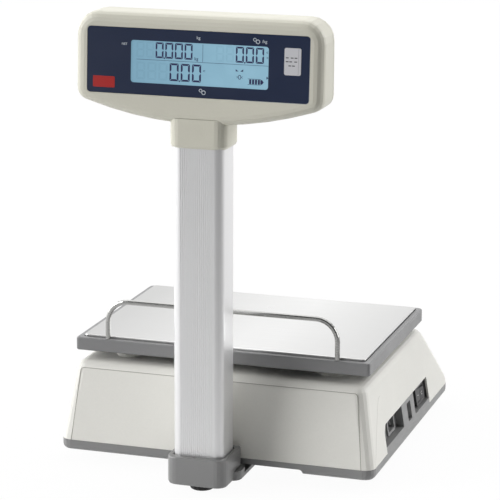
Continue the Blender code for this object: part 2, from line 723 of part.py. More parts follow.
def pan_carrier(paint, parent):
    """The grey plastic carrier under the steel platter: a border, a shallow pocket and a hollow underside."""
    low, high = CARRIER_Z

    def outer(inset, z):
        radii = tuple(max(r - inset, SMALLEST_R) for r in CARRIER_CORNERS)
        return pan_ring(CARRIER_BORDER - inset, radii, z)

    pocket = (CARRIER_POCKET_MARGIN, CARRIER_CORNERS[0])
    rings = [pan_ring(*pocket, CARRIER_POCKET_Z), pan_ring(*pocket, high)]
    rings += [outer(inset, high - drop) for inset, drop in CARRIER_RIM]
    rings += [outer(0.0, low + BITE), outer(BITE, low)]
    rings += [outer(CARRIER_WALL - 2 * BITE, low), outer(CARRIER_WALL, CARRIER_POCKET_Z - CARRIER_ROOF)]
    carrier = loft("pan_carrier", rings, paint)
    roof = CARRIER_POCKET_Z - CARRIER_ROOF + BITE
    foot_r, head_r = CARRIER_BOSS
    for place in posts():
        joined(carrier, turned("boss", place, ((foot_r, low), (head_r, roof)), steps=16))
    for x in (-RAIL_X, RAIL_X):
        place = (x, RAIL_Y)
        joined(carrier, rod("rail_boss", place, RAIL_BOSS_R, low + BITE, high - 2 * BITE, 12))
        cut(carrier, rod("hole", place, TENON_R + GAP, high - TENON_HOLE, high + REACH, 12))
    return seated(carrier, (0.0, PAN_CENTRE_Y, low), parent)


def platter(paint, parent):
    """The stainless platter: a thin sheet with a short turned-down edge."""
    low = CARRIER_POCKET_Z + GAP
    inside = PLATTER_TOP_Z - PLATTER_SHEET

    def ring(inset, z):
        return pan_ring(-inset, PLATTER_CORNER - inset, z)

    rings = [ring(inset, PLATTER_TOP_Z - drop) for inset, drop in PLATTER_EDGE]
    rings += [ring(0.0, low), ring(PLATTER_SHEET, low)]
    rings += [ring(PLATTER_SHEET, inside - PLATTER_BEND), ring(PLATTER_SHEET + PLATTER_BEND, inside)]
    return seated(loft("platter", rings, paint), (0.0, PAN_CENTRE_Y, PLATTER_TOP_Z), parent)


def tube(name, route, radii, paint, sides=10):
    """A round bar along a route, with a radius for each point."""
    points = [Vector(point) for point in route]
    rings = []
    side = None
    for i, point in enumerate(points):
        ahead = (points[min(i + 1, len(points) - 1)] - points[max(i - 1, 0)]).normalized()
        side = (side if side else ahead.orthogonal()).normalized()
        side = (side - ahead * side.dot(ahead)).normalized()
        other = ahead.cross(side)
        angles = [math.tau * k / sides for k in range(sides)]
        rings.append([tuple(point + (side * math.cos(a) + other * math.sin(a)) * radii[i]) for a in angles])
    return loft(name, rings, paint)


def guard_rail(paint, parent):
    """The steel rail on the customer's edge of the carrier, with a thin tenon on each leg."""
    shoulder = CARRIER_Z[1] + GAP
    corner = (RAIL_X - RAIL_BEND, RAIL_TOP_Z - RAIL_BEND)
    half = [(RAIL_X, shoulder - TENON_LENGTH, TENON_R), (RAIL_X, shoulder - GAP / 3, TENON_R)]
    half += [(RAIL_X, shoulder, RAIL_R)]
    half += [(x, z, RAIL_R) for x, z in arc(corner, RAIL_BEND, 0, 90, 7)]
    both = half + [(-x, z, r) for x, z, r in half[::-1]]
    route = [(x, RAIL_Y, z) for x, z, _ in both]
    rail = tube("guard_rail", route, [r for _, _, r in both], paint, 12)
    return seated(rail, (0.0, RAIL_Y, shoulder), parent, 50)


def bar(start, end, width, low, high):
    """A straight bar between two places in plan."""
    first, second = Vector(start), Vector(end)
    along = (second - first).normalized()
    aside = Vector((-along.y, along.x)) * (width / 2)
    corners = [first - aside, second - aside, second + aside, first + aside]
    return prism("bar", [tuple(corner) for corner in corners], low, high)


def load_frame(paint, parent):
    """The cast frame on the load cell, whose four posts carry the pan."""
    low, high = FRAME_Z
    (x0, y0), (x1, y1) = FRAME_PLATE
    frame = block("load_frame", (x0, y0, low), (x1, y1, high), paint)
    width, rib = FRAME_ARM
    for x, y in posts():
        root = (math.copysign(FRAME_ARM_ROOT[0], x), y * FRAME_ARM_ROOT[1])
        joined(frame, bar(root, (x, y), width, low + GAP, high + rib))
        profile = ((POST_FOOT_R, low), (POST_R, CUSHION_Z[0] - GAP))
        joined(frame, turned("post", (x, y), profile, steps=14))
    return seated(frame, (0.0, PAN_CENTRE_Y, low), parent)


def pan_cushions(paint, parent):
    low, high = CUSHION_Z
    profile = ((CUSHION_R - BITE, low), (CUSHION_R, low + BITE))
    profile += ((CUSHION_R, high - BITE), (CUSHION_R - BITE, high))
    for i, place in enumerate(posts(), 1):
        cushion = turned(f"pan_cushion_{i}", place, profile, paint, 16)
        seated(cushion, (*place, low), parent)


def load_cell(cell_paint, spacer_paint, parent, moving_parent):
    """The single-point cell: its -X end is fixed to the tray, and its +X end carries the load frame."""
    length, width, height = CELL_SIZE
    y0, y1 = PAN_CENTRE_Y - width / 2, PAN_CENTRE_Y + width / 2
    low, high = CELL_BOTTOM_Z, CELL_BOTTOM_Z + height
    cell = block("load_cell", (-length / 2, y0, low), (length / 2, y1, high), cell_paint, SEAT_R)
    middle = (low + high) / 2
    offset, radius = GAUGE_HOLE
    lobes = arc((offset, middle), radius, -130, 130, 8) + arc((-offset, middle), radius, 50, 310, 8)
    cut(cell, slab("gauge_hole", lobes, along_y, y0 - REACH, y1 + REACH))
    seated(cell, (0.0, PAN_CENTRE_Y, low), parent)
    tray_top = TRAY_BOTTOM_Z + TRAY_FLOOR
    near, far = SPACER_X
    corners = (-far, y0, tray_top + GAP), (-near, y1, low - GAP)
    lower = block("cell_spacer_lower", *corners, spacer_paint, SEAT_R)
    corners = (near, y0, high + GAP), (far, y1, FRAME_Z[0] - GAP)
    upper = block("cell_spacer_upper", *corners, spacer_paint, SEAT_R)
    seated(lower, (-(near + far) / 2, PAN_CENTRE_Y, tray_top), parent)
    seated(upper, ((near + far) / 2, PAN_CENTRE_Y, high), moving_parent)


# ---------------------------------------------------------------- column


def column_outline(margin):
    """The extrusion's outline, with fine grooves down its customer face where no margin is asked for."""
    x, (y0, y1) = COLUMN_HALF_WIDTH + margin, COLUMN_Y
    outline = rounded((-x, y0 - margin), (x, y1 + margin), COLUMN_CORNER + margin, 5)
    if margin:
        return outline
    width, depth = GROOVE
    grooves = []
    for k in range(GROOVE_COUNT):
        middle = -GROOVE_SPAN + 2 * GROOVE_SPAN * k / (GROOVE_COUNT - 1)
        grooves += [(middle - width / 2, y0), (middle - width / 4, y0 + depth)]
        grooves += [(middle + width / 4, y0 + depth), (middle + width / 2, y0)]
    corner_points = 6
    return outline[:corner_points] + grooves + outline[corner_points:]


def column(paint, parent):
    """The aluminium extrusion: grooved outside, hollow inside, with two screw ports at the back."""
    low, high = COLUMN_Z
    body = prism("column", column_outline(0.0), low, high, paint)
    x, (y0, y1) = COLUMN_HALF_WIDTH - COLUMN_WALL, COLUMN_Y
    front = y0 + COLUMN_WALL + GROOVE[1] / 2
    hollow = rounded((-x, front), (x, y1 - COLUMN_WALL), COLUMN_CORNER - COLUMN_WALL, 3)
    cavity = prism("cavity", hollow, low - REACH, high + REACH)
    (port_x, port_y), outer, inner = PORT
    for x in (-port_x, port_x):
        cut(cavity, rod("port", (x, port_y), outer, low - 2 * REACH, high + 2 * REACH, 12))
    cut(body, cavity)
    for x in (-port_x, port_x):
        cut(body, rod("bore", (x, port_y), inner, low - REACH, high + REACH, 10))
    cut(body, cable_bore())
    return seated(body, (0.0, sum(COLUMN_Y) / 2, low), parent, 20)


def column_bracket(paint, parent):
    """The grey socket that holds the column, with a tongue that runs under the tray."""
    low, high = BRACKET_Z
    y0, y1 = BRACKET_Y

    def ring(inset, z):
        x = BRACKET_HALF_WIDTH - inset
        radii = tuple(r - inset for r in BRACKET_CORNERS)
        return flat(rounded((-x, y0 + inset), (x, y1 - inset), radii, 5), z)

    rings = [ring(inset, low + rise) for inset, rise in BRACKET_FOOT_EDGE]
    rings += [ring(inset, high - drop) for inset, drop in BRACKET_RIM]
    bracket = loft("column_bracket", rings, paint)
    tongue = rounded(*TONGUE, TONGUE_R, 4)
    joined(bracket, prism("tongue", tongue, low + GAP / 3, TRAY_BOTTOM_Z - GAP))
    corner, far_corner, top = TONGUE_LOBE
    joined(bracket, prism("lobe", rounded(corner, far_corner, TONGUE_R, 4), low + GAP / 2, top))
    socket = column_outline(COLUMN_CLEARANCE)
    cut(bracket, prism("socket", socket, COLUMN_Z[0] - GAP, high + REACH))
    cut(bracket, rod("thread", FOOT_PLACES[0], STUD_R + STUD_CLEARANCE, 0.0, 2 * REACH))
    (port_x, port_y), _, _ = PORT
    for x in (-port_x, port_x):
        cut(bracket, rod("hole", (x, port_y), SCREW_HOLE_R, 0.0, 2 * REACH, 10))
    cut(bracket, cable_bore())
    return seated(bracket, (0.0, BRACKET_Y[1], low), parent)


# ---------------------------------------------------------------- display head


def head_outline(inset):
    """The head's outline from the front: straight top and sides, and a belly that is part of a circle."""
    x = HEAD_HALF_WIDTH - inset
    top = HEAD_TOP_Z - inset
    centre_z = HEAD_LOW_Z + HEAD_BELLY_R
    radius = HEAD_BELLY_R - inset
    reach = x - HEAD_LOW_R

    def belly(across):
        return (across, centre_z - math.sqrt(radius**2 - across**2))

    corners = [belly(-x)] + [belly(across) for across in np.linspace(-reach, reach, 11)]
    corners += [belly(x), (x, top), (-x, top)]
    low_r, top_r = max(HEAD_LOW_R - inset, SMALLEST_R), HEAD_TOP_R - inset
    return filleted(corners, [low_r] + [0] * 11 + [low_r, top_r, top_r], 5)


def head_ring(inset, forward):
    """One ring of the head, at a distance from the seam given as a share of the way to the face."""
    ring = []
    for x, z in head_outline(inset):
        face_y = on_face(x, z, 0.0)[1]
        ring.append((x, HEAD_SEAM_Y + (face_y - HEAD_SEAM_Y) * forward, z))
    return ring


def head_front_shell(paint, parent):
    """The front half of the head, with an opening under it for the neck."""
    depth = HEAD_SEAM_Y - on_face(0.0, (HEAD_LOW_Z + HEAD_TOP_Z) / 2, 0.0)[1]
    rings = [head_ring(0.0, HEAD_SEAM_SHARE)]
    for angle in np.radians(np.linspace(0, 90, 5)):
        forward = depth - HEAD_EDGE_R * (1 - math.sin(angle))
        rings.append(head_ring(HEAD_EDGE_R * (1 - math.cos(angle)), forward / depth))
    inner = [head_ring(WALL, HEAD_SEAM_SHARE), head_ring(WALL, (depth - HEAD_EDGE_R) / depth)]
    for inset, back in HEAD_INSIDE_EDGE:
        inner.append(head_ring(inset, (depth - WALL - back) / depth))
    shell = loft("head_front_shell", rings[::-1] + inner, paint)
    for x, z in HEAD_SCREWS:
        start = on_face(x, z, WALL / 2)[1]
        boss = circle((x, z), HEAD_BOSS_R, 12)
        joined(shell, slab("boss", boss, along_y, start, HEAD_SEAM_Y + HEAD_BOSS_REACH))
        bore = circle((x, z), SCREW_HOLE_R, 10)
        cut(shell, slab("bore", bore, along_y, HEAD_SEAM_Y - HEAD_BORE, HEAD_SEAM_Y + REACH))
    opening = [neck_ring(-GAP, z) for z in (HEAD_LOW_Z - REACH, NECK_Z[1] + GAP)]
    cut(shell, loft("opening", opening))
    cut(shell, slab("pocket", rounded(*OVERLAY, OVERLAY_R), on_face, -REACH, OVERLAY_DEPTH))
    cut(shell, slab("window", lcd_outline(LCD_WINDOW, LCD_MARGIN), on_face, -REACH, LCD_CUT))
    return seated(shell, (0.0, HEAD_SEAM_Y, HEAD_LOW_Z), parent)


def neck_ring(inset, z):
    x = NECK_HALF_WIDTH - inset
    low = (-x, FACE_FOOT_Y + NECK_SETBACK + inset)
    return flat(rounded(low, (x, NECK_BACK_Y - inset), NECK_CORNER - inset, 5), z)


def head_neck(paint, parent):
    """The sleeve that slips over the column. Two lugs hang the head on it."""
    low, high = NECK_Z
    rings = [neck_ring(inset, low + rise) for inset, rise in NECK_EDGE]
    neck = loft("head_neck", rings + [neck_ring(0.0, high)], paint)
    (x0, y0), (x1, y1) = NECK_LUG
    joined(neck, block("lug", (x0, y0, NECK_LUG_Z), (x1, y1, high - GAP)))
    joined(neck, block("lug", (-x1, y0, NECK_LUG_Z), (-x0, y1, high - GAP)))
    sleeve = column_outline(COLUMN_CLEARANCE / 2)
    cut(neck, prism("sleeve", sleeve, low - REACH, COLUMN_Z[1] + GAP))
    cut(neck, prism("window", rounded(*NECK_WINDOW, PANEL_R), low, high + REACH))
    return seated(neck, (0.0, sum(COLUMN_Y) / 2, low), parent)


def head_rear_shell(paint, parent):
    """The shallow back half of the head, cut away round the neck."""

    def ring(inset, y):
        return [(x, y, z) for x, z in head_outline(inset)]

    seam = HEAD_SEAM_Y + GAP
    rings = [ring(0.0, seam)]
    for angle in np.radians(np.linspace(0, 90, 4)):
        inset = HEAD_BACK_R * (1 - math.cos(angle))
        rings.append(ring(inset, HEAD_BACK_Y - HEAD_BACK_R * (1 - math.sin(angle))))
    inner = [ring(WALL, seam), ring(HEAD_BACK_R, HEAD_BACK_Y - WALL)]
    shell = loft("head_rear_shell", rings[::-1] + inner, paint)
    relief = [neck_ring(-GAP, z) for z in (HEAD_LOW_Z - REACH, NECK_Z[1] + GAP)]
    cut(shell, loft("relief", relief))
    for place in HEAD_SCREWS:
        hole = circle(place, SCREW_HOLE_R, 10)
        cut(shell, slab("hole", hole, along_y, HEAD_SEAM_Y, HEAD_BACK_Y + REACH))
        room = circle(place, HEAD_BOSS_R + GAP, 12)
        behind = HEAD_SEAM_Y + HEAD_BOSS_REACH + GAP
        cut(shell, slab("room", room, along_y, HEAD_SEAM_Y - REACH, behind))
    return seated(shell, (0.0, HEAD_SEAM_Y, HEAD_LOW_Z), parent)


def display_overlay(paint, parent):
    """The dark front film of the customer display, with the window for its LCD."""
    low, high = OVERLAY
    outer = rounded((low[0] + GAP, low[1] + GAP), (high[0] - GAP, high[1] - GAP), OVERLAY_R - GAP)
    inner = rounded(*LCD_WINDOW, LCD_WINDOW_R)
    rings = [[on_face(x, z, depth) for x, z in outer] for depth in (0.0, OVERLAY_DEPTH - GAP)]
    rings += [[on_face(x, z, depth) for x, z in inner] for depth in (OVERLAY_DEPTH - GAP, 0.0)]
    middle = (low[1] + high[1]) / 2
    return seated(loft("display_overlay", rings, paint, looped=True), on_face(0.0, middle, 0.0), parent)


def customer_display(glass_paint, light_paint, board_paint, parent):
    """The customer's LCD, its backlight and the board that carries them."""
    (x0, z0), (x1, z1) = LCD_WINDOW
    middle = ((x0 + x1) / 2, (z0 + z1) / 2)
    glass = lcd_outline(LCD_WINDOW, LCD_MARGIN - GAP)
    wide, tall = CUSTOMER_BOARD
    board = rounded((x0 - wide, z0 - tall), (x1 + wide, z1 + tall), WINDOW_R, 1)
    near = OVERLAY_DEPTH
    for name, outline, thickness, paint in (
        ("customer_lcd", glass, LCD_THICKNESS, glass_paint),
        ("lcd_backlight", glass, BACKLIGHT_THICKNESS, light_paint),
        ("customer_display_board", board, BOARD_THICKNESS, board_paint),
    ):
        layer = slab(name, outline, on_face, near, near + thickness, paint)
        seated(layer, on_face(*middle, near), parent)
        near += thickness + GAP


# ---------------------------------------------------------------- inside the base


def electronics(board_paint, core_paint, battery_paint, parent):
    low, high = MAIN_BOARD
    seated(block("main_board", low, high, board_paint), low, parent)
    low, high = TRANSFORMER_CORE
    core = block("power_transformer", low, high, core_paint, BITE)
    joined(core, block("winding", *TRANSFORMER_WINDING, None, 2 * BITE))
    seated(core, low, parent)
    low, high = BATTERY
    seated(block("battery", low, high, battery_paint, SMALLEST_R), low, parent)


def display_cable(paint, parent):
    """The cable from the display board down the column and along the tray to the main board."""
    cable = tube("display_cable", CABLE_ROUTE, [CABLE_R] * len(CABLE_ROUTE), paint, 8)
    return seated(cable, CABLE_ROUTE[5], parent, 60)


def bubble_level(paint, parent):
    """The round level, seen when the pan is lifted off."""
    low, high = LEVEL_Z
    profile = ((LEVEL_R - BITE, low), (LEVEL_R, low + BITE), (LEVEL_R, high - BITE), (LEVEL_R - BITE, high))
    level = turned("bubble_level", LEVEL_PLACE, profile, paint, 24)
    return seated(level, (*LEVEL_PLACE, COVER_TOP_Z), parent)


# ---------------------------------------------------------------- fasteners and feet


def screw_from_below(name, place, top, length, paint, parent):
    """A pan-head screw whose head sits just under a surface at height top."""
    low = top - GAP - SCREW_HEAD[-1][1]
    profile = [(r, low + rise) for r, rise in SCREW_HEAD] + [(SCREW_SHAFT_R, top + length)]
    return seated(turned(name, place, profile, paint, 12), (*place, low), parent)


def screws(paint, parent):
    for i, place in enumerate(COVER_SCREWS, 1):
        name = f"cover_screw_{i}"
        screw_from_below(name, place, TRAY_BOTTOM_Z, COVER_SCREW_LENGTH, paint, parent)
    (port_x, port_y), _, _ = PORT
    for i, x in enumerate((-port_x, port_x), 1):
        name = f"column_screw_{i}"
        screw_from_below(name, (x, port_y), BRACKET_Z[0], COLUMN_SCREW_LENGTH, paint, parent)
    outside = HEAD_BACK_Y + GAP + SCREW_HEAD[-1][1]
    profile = [(r, outside - rise) for r, rise in SCREW_HEAD]
    profile += [(SCREW_SHAFT_R, HEAD_SEAM_Y - HEAD_SCREW_LENGTH)]
    for i, (x, z) in enumerate(HEAD_SCREWS, 1):
        rings = [[along_y(u, v, y) for u, v in circle((x, z), r, 12)] for r, y in profile]
        seated(loft(f"head_screw_{i}", rings, paint), (x, HEAD_BACK_Y, z), parent)


def foot_wheel(name, place, paint, parent):
    """A ridged wheel with a domed underside and a blind hole for its stud."""
    steps = FOOT_RIDGES * 2

    def ring(radius, z, ridge):
        points = []
        for k, (x, y) in enumerate(circle((0.0, 0.0), 1.0, steps)):
            reach = radius - (ridge if k % 2 else 0.0)
            points.append((place[0] + x * reach, place[1] + y * reach, z))
        return points

    hole = STUD_R + STUD_CLEARANCE
    rings = [ring(*level) for level in FOOT_PROFILE]
    rings += [ring(hole, FOOT_HEIGHT, 0.0), ring(hole, FOOT_HOLE_Z, 0.0)]
    wheel = loft(name, rings, paint)
    return seated(wheel, (*place, FOOT_HEIGHT), parent, 25)


def foot_stud(name, place, top, paint, parent):
    low = FOOT_HOLE_Z + GAP
    end = STUD_R - SEAT_R
    profile = ((end, low), (STUD_R, low + SEAT_R), (STUD_R, top - SEAT_R), (end, top))
    return seated(turned(name, place, profile, paint, 14), (*place, FOOT_HEIGHT), parent)


# ---------------------------------------------------------------- assembly


def main():
    clear_scene()
    cream = material("cream_plastic", (0.66, 0.64, 0.57), 0.42)
    grey = material("grey_plastic", (0.19, 0.19, 0.19), 0.45)
    black = material("black_plastic", (0.02, 0.02, 0.022), 0.40)
    navy = material("navy_film", (0.017, 0.028, 0.055), 0.30)
    glass = material("lcd_glass", (0.22, 0.42, 0.55), 0.12)
    diffuser = material("backlight_diffuser", (0.75, 0.85, 0.90), 0.50)
    keypad = material("keypad_film", (0.07, 0.09, 0.13), 0.45)
    board = material("circuit_board", (0.03, 0.16, 0.07), 0.50)
    steel = material("stainless_steel", (0.62, 0.62, 0.61), 0.24, 1.0)
    zinc = material("zinc_plated_steel", (0.55, 0.55, 0.54), 0.35, 1.0)
    aluminium = material("anodised_aluminium", (0.70, 0.71, 0.72), 0.38, 1.0)
    cast = material("cast_aluminium", (0.45, 0.46, 0.47), 0.55, 1.0)
    rubber = material("black_rubber", (0.03, 0.03, 0.03), 0.80)
    core = material("transformer_core", (0.16, 0.13, 0.10), 0.60)
    vial = material("level_vial", (0.45, 0.65, 0.15), 0.10)

    body = pivot("scale_body", (0.0, 0.0, 0.0))
    platform = pivot("load_platform", (SPACER_X[1], PAN_CENTRE_Y, FRAME_Z[0]), body)
    pan = pivot("pan", (0.0, PAN_CENTRE_Y, CARRIER_Z[0]), platform)
    top = pivot("platter_lift", (0.0, PAN_CENTRE_Y, CARRIER_POCKET_Z), pan)
    rocker_axis = pivot("rocker_axis", on_side(*SWITCH_CENTRE, ROCKER_AXIS_DEPTH), body)

    base_tray(grey, body)
    top_cover(cream, body)
    customer_panel(cream, body)
    keypad_panel(keypad, body)
    operator_display(glass, board, body)
    bubble_level(vial, body)
    power_inlet(grey, body)
    serial_port(grey, body)
    power_switch(black, black, body, rocker_axis)
    load_cell(aluminium, zinc, body, platform)
    load_frame(cast, platform)
    pan_cushions(rubber, platform)
    pan_carrier(grey, pan)
    guard_rail(steel, pan)
    platter(steel, top)
    column_bracket(grey, body)
    column(aluminium, body)
    head_front_shell(cream, body)
    head_rear_shell(cream, body)
    head_neck(cream, body)
    display_overlay(navy, body)
    customer_display(glass, diffuser, board, body)
    display_cable(black, body)
    electronics(board, core, black, body)
    screws(zinc, body)
    for i, (place, stud_top) in enumerate(zip(FOOT_PLACES, FOOT_STUD_TOPS), 1):
        height = pivot(f"foot_{i}", (*place, FOOT_HEIGHT), body)
        foot_stud(f"foot_stud_{i}", place, stud_top, zinc, height)
        foot_wheel(f"foot_wheel_{i}", place, black, height)


main()
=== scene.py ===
"""Looks of the retail price scale: materials, printed and moulded details, light and camera.

Metres, +Z up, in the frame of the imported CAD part. The customer is on the -Y side.
"""

import math

import bmesh
import bpy
from mathutils import Matrix, Vector


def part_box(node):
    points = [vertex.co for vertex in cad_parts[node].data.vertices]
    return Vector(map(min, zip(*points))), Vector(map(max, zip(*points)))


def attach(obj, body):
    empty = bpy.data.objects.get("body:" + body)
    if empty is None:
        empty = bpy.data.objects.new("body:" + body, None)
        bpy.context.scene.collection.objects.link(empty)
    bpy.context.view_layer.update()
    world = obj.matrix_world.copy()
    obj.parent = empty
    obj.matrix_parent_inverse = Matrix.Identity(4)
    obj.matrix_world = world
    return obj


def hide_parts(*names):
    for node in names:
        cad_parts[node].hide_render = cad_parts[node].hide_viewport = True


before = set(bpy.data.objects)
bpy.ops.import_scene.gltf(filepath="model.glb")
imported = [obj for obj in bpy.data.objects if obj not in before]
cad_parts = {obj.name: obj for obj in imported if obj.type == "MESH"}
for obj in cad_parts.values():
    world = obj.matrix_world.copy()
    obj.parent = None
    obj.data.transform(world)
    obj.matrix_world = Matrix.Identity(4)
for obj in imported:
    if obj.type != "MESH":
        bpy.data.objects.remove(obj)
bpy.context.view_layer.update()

# Surfaces of the CAD part that pieces are laid on, in metres
FACE_FOOT = (-0.2086, 0.4022)  # y and z where the display face starts
FACE_LEAN = math.tan(math.radians(3.5))
FACE_RECESS = 0.0012  # pocket of the film, and the LCD's front
SLOPE_FOOT = Vector((0.2090, 0.0362))  # y and z of the operator's slope, at its two ends
SLOPE_HEAD = Vector((0.1340, 0.1062))
SLOPE_RECESS = 0.0012
SIDE_FOOT = (0.1813, 0.02495)  # x and z where the cover's +X side starts
SIDE_LEAN = 0.164
PORT_CENTRE = (0.022, 0.041)
ROCKER_CENTRE = (0.086, 0.043)
ROCKER_AXIS_DEPTH = 0.0095
ROCKER_FACE = 0.00655  # from the axis out to the middle of the rocker's face
ROCKER_REST = math.radians(-7)
BACK_Y = -0.1560  # the back of the head
CUSTOMER_FOOT = (-0.1511, 0.02495)  # y and z where the cover's customer side starts
CUSTOMER_LEAN = 0.149
COVER_ROUND_Z = 0.1042  # where that side starts to round over into the top
COVER_EDGE_R = 0.010

# Foot, top and bevel of raised pieces, as depths into the surface that they lie on
LCD_RISE = (-0.00002, -0.00012, 0.00003)
UNLIT_RISE = (-0.00002, -0.00005, 0.00001)
RIM_RISE = (0.0001, -0.00008, 0.00002)
BADGE_RISE = (0.0, -0.00012, 0.00006)
LABEL_RISE = (0.0, -0.00022, 0.00008)
DASH_RISE = (-0.00018, -0.00026, 0.00002)
FOLD_RISE = (-0.00018, -0.00025, 0.00001)
COIN_RISE = (0.00001, -0.00006)
KEY_RISE = (0.0001, -0.0003, 0.00025)
STROKE_RISE = (0.0003, -0.00005, 0.00004)
TONGUE_RISE = (0.0075, 0.0060, 0.0001)
PIN_RISE = (0.0061, 0.0058, 0.00004)
SIDE_SEAM_RISE = (0.0001, -0.00005, 0.00002)
PANEL_SEAM_RISE = (0.0002, -0.00004, 0.00001)
CROSS_RISE = (0.0001, -0.00004, 0.00003)

# Mouldings
PANEL_OUTLINE = ((0.1680, 0.0252), (0.1600, 0.1070), 0.004)  # its foot, its top corner and radius
SEAM_FOOT = ((-0.1385, 0.0262), (-0.1200, 0.0540))  # the painted shade line of the step in the side wall, in y and z
SEAM_BEND = ((-0.0850, 0.0745), 0.0160, 148, 95)  # its upper end: centre, radius, and angles
SEAM_WIDTH = 0.0006
PANEL_SEAM_WIDTH = 0.00055
PANEL_TOP_STEPS = 8  # along each half of its top edge
COLUMN_CORNER = 0.0098
COLUMN_WALL = 0.0025
CORNER_STEPS = 10
CIRCLE_STEPS = 20
GROOVE_COUNT = 16
GROOVE_SPAN = 0.0174  # from the middle of the face to the last groove
GROOVE_WIDTH = 0.0011
GROOVE_DEPTH = 0.00045
GROOVE_SLANT = 0.0002
PIN_COUNT = 5
PIN_PITCH = 0.0018
PIN_WIDTH = 0.0007
OFF_MARK = (0.0064, 0.0)  # along the rocker, and up it
ON_MARK = ((-0.0085, 0.0), (-0.0045, 0.0))
SCREW_CROSS = (0.0034, 0.0006)  # length and width of its strokes

# Customer display, in X and Z. A digit has a width, a height and a stroke. A row has the left and
# top of its first digit, its pitch and its count.
WINDOW = ((-0.0730, 0.4442), (0.0774, 0.4884))
SMALL_DIGIT = (0.0087, 0.0163, 0.0018)
LARGE_DIGIT = (0.0099, 0.0184, 0.0020)
WEIGHT_DIGITS = (-0.0459, 0.4870, 0.0106, 4)
PRICE_DIGITS = (0.0417, 0.4868, 0.0108, 3)
TOTAL_DIGITS = (-0.0302, 0.4661, 0.0123, 3)
UNLIT_PLACES = {SMALL_DIGIT: 2, LARGE_DIGIT: 3}
DIVIDER_Z = 0.4685
DIVIDER_X = (-0.0669, 0.0770)
UPRIGHT = (0.0058, 0.4691, 0.4871)  # the line between weight and price: its x, and its two ends
FINE_LINE = 0.00042
SIDE_ARROW = ((0.0752, 0.4546), (0.0772, 0.4562), (0.0752, 0.4578))
LEFT_WEDGE = ((0.0419, 0.4636), (0.0419, 0.4614), (0.0450, 0.4614))
RIGHT_WEDGE = ((0.0500, 0.4638), (0.0469, 0.4614), (0.0500, 0.4614))
ZERO_MARK = (0.0462, 0.4555)
ZERO_RINGS = ((0.0032, 0.0046, 0.0015), (0.0020, 0.0034, 0.0009))  # width, height and radius
ZERO_ARROWS = ((0.0446, -0.0018), (0.0478, 0.0018))  # the x of each tip, and its reach
ROW_ARROWS = ((0.0063, 0.4598, 0.0024), (0.0744, 0.4823, 0.0020))
SHORT_LINES = (0.0748, 0.0768, (0.4774, 0.4762))  # both ends, and the height of each
BATTERY = ((0.0551, 0.4484), (0.0172, 0.0062))  # its corner and its size
BATTERY_BAR = (0.0022, 0.0031)  # width and pitch
BATTERY_TIP = (0.0036, 0.0018)  # where the point starts, and where its slant starts, from its end
POINT_SIZE = 0.0015
SEGMENT_GAP = 0.16  # of a stroke, between two strokes of a digit
SEGMENT_NOTCH = 0.35
SCREEN_UNIT = ("kg", -0.0012, 0.4719, 0.0034)

# Prints and labels on the overlay, and its painted rim highlight, in X and Z
UNITS = (("kg", 0.0012, 0.4938, 0.0032), ("/kg", 0.0727, 0.4934, 0.0032), ("NET", -0.0800, 0.4838, 0.0024))
COIN_PAIRS = ((0.0643, 0.4938), (0.0066, 0.4384))
COINS = ((-0.0021, 0.0012, 0.0019), (0.0012, -0.0008, 0.0024))  # offset and radius of each in a pair
COIN_HOLE = 0.62
RIM_OUTSIDE = (0.1215, 0.4319)  # the two straight stretches of the overlay's bright rim, a painted highlight
RIM_ENDS = (0.4990, 0.0300)
RIM_TURNS = (0.4360, 0.1170)  # where each of them ends, just before the corner
RIM_R = 0.0038
RIM_WIDTH = 0.0004
BADGE = ((-0.1148, 0.4375), (-0.0904, 0.4493), 0.0012)
LABEL = ((0.0942, 0.4605), (0.1121, 0.4884), 0.0020)
LABEL_FOLD = (0.1093, 0.4612, 0.4878)
FOLD_WIDTH = 0.00035
DASH = (0.0030, 0.0011)
DASH_ROWS = (
    (0.4783, (0.0957, 0.1010, 0.1050)),
    (0.4744, (0.0957, 0.0995, 0.1048)),
    (0.4702, (0.0987, 0.1025)),
)

# Operator side, in X and along the slope. Keys have a width, a height and a radius.
OPERATOR_WINDOW = ((-0.095, -0.0400), (0.095, -0.0130))
OPERATOR_DIGIT = (0.0088, 0.0175, 0.0019)
OPERATOR_PITCH = 0.0112
OPERATOR_ROWS = ((-0.083, 0), (-0.018, 1), (0.043, 1))  # the left end, and the digit with the point
OPERATOR_COUNT = 4
KEY_TOP_ROW = 0.0060
KEY_ROW_PITCH = 0.0124
PRICE_KEY = (0.0142, 0.0104, 0.0016)
PRICE_KEYS = (-0.1350, 0.0162, 9)  # the first column, the pitch and the count
NUMBER_KEY = (0.0205, 0.0104, 0.0016)
NUMBER_KEYS = (0.0345, 0.0232, 5)
NUMBER_ROWS = ("789", "456", "123", "0")
PALE_COLUMNS = 3
RED_KEY = (4, 0)  # its column and row
KEY_DIGIT_HEIGHT = 0.0052

# Camera
CAMERA_PLACE = (0.7729, -2.4488, 0.8461)
CAMERA_HEADING = 0.30822
CAMERA_PITCH = 0.23838
CAMERA_ROLL = 0.00441
CAMERA_LENS = 166.99

# Stage
FLOOR_FADE = (0.30, 1.10)  # the floor's bounce fades between these distances from the middle
BRIGHT_SIDE = (-0.86, 0.50, 0.0)  # where the floor mirrors brightest
BACKDROP_SIDE = (-0.40, 0.90, 0.15)  # where the surroundings are brightest


# ---------------------------------------------------------------- surfaces
# Depth runs into a surface, so a negative depth stands proud of it.


def on_face(x, z, depth):
    """A point on the display face, which leans back as it rises."""
    return Vector((x, FACE_FOOT[0] + FACE_LEAN * (z - FACE_FOOT[1]) + depth, z))


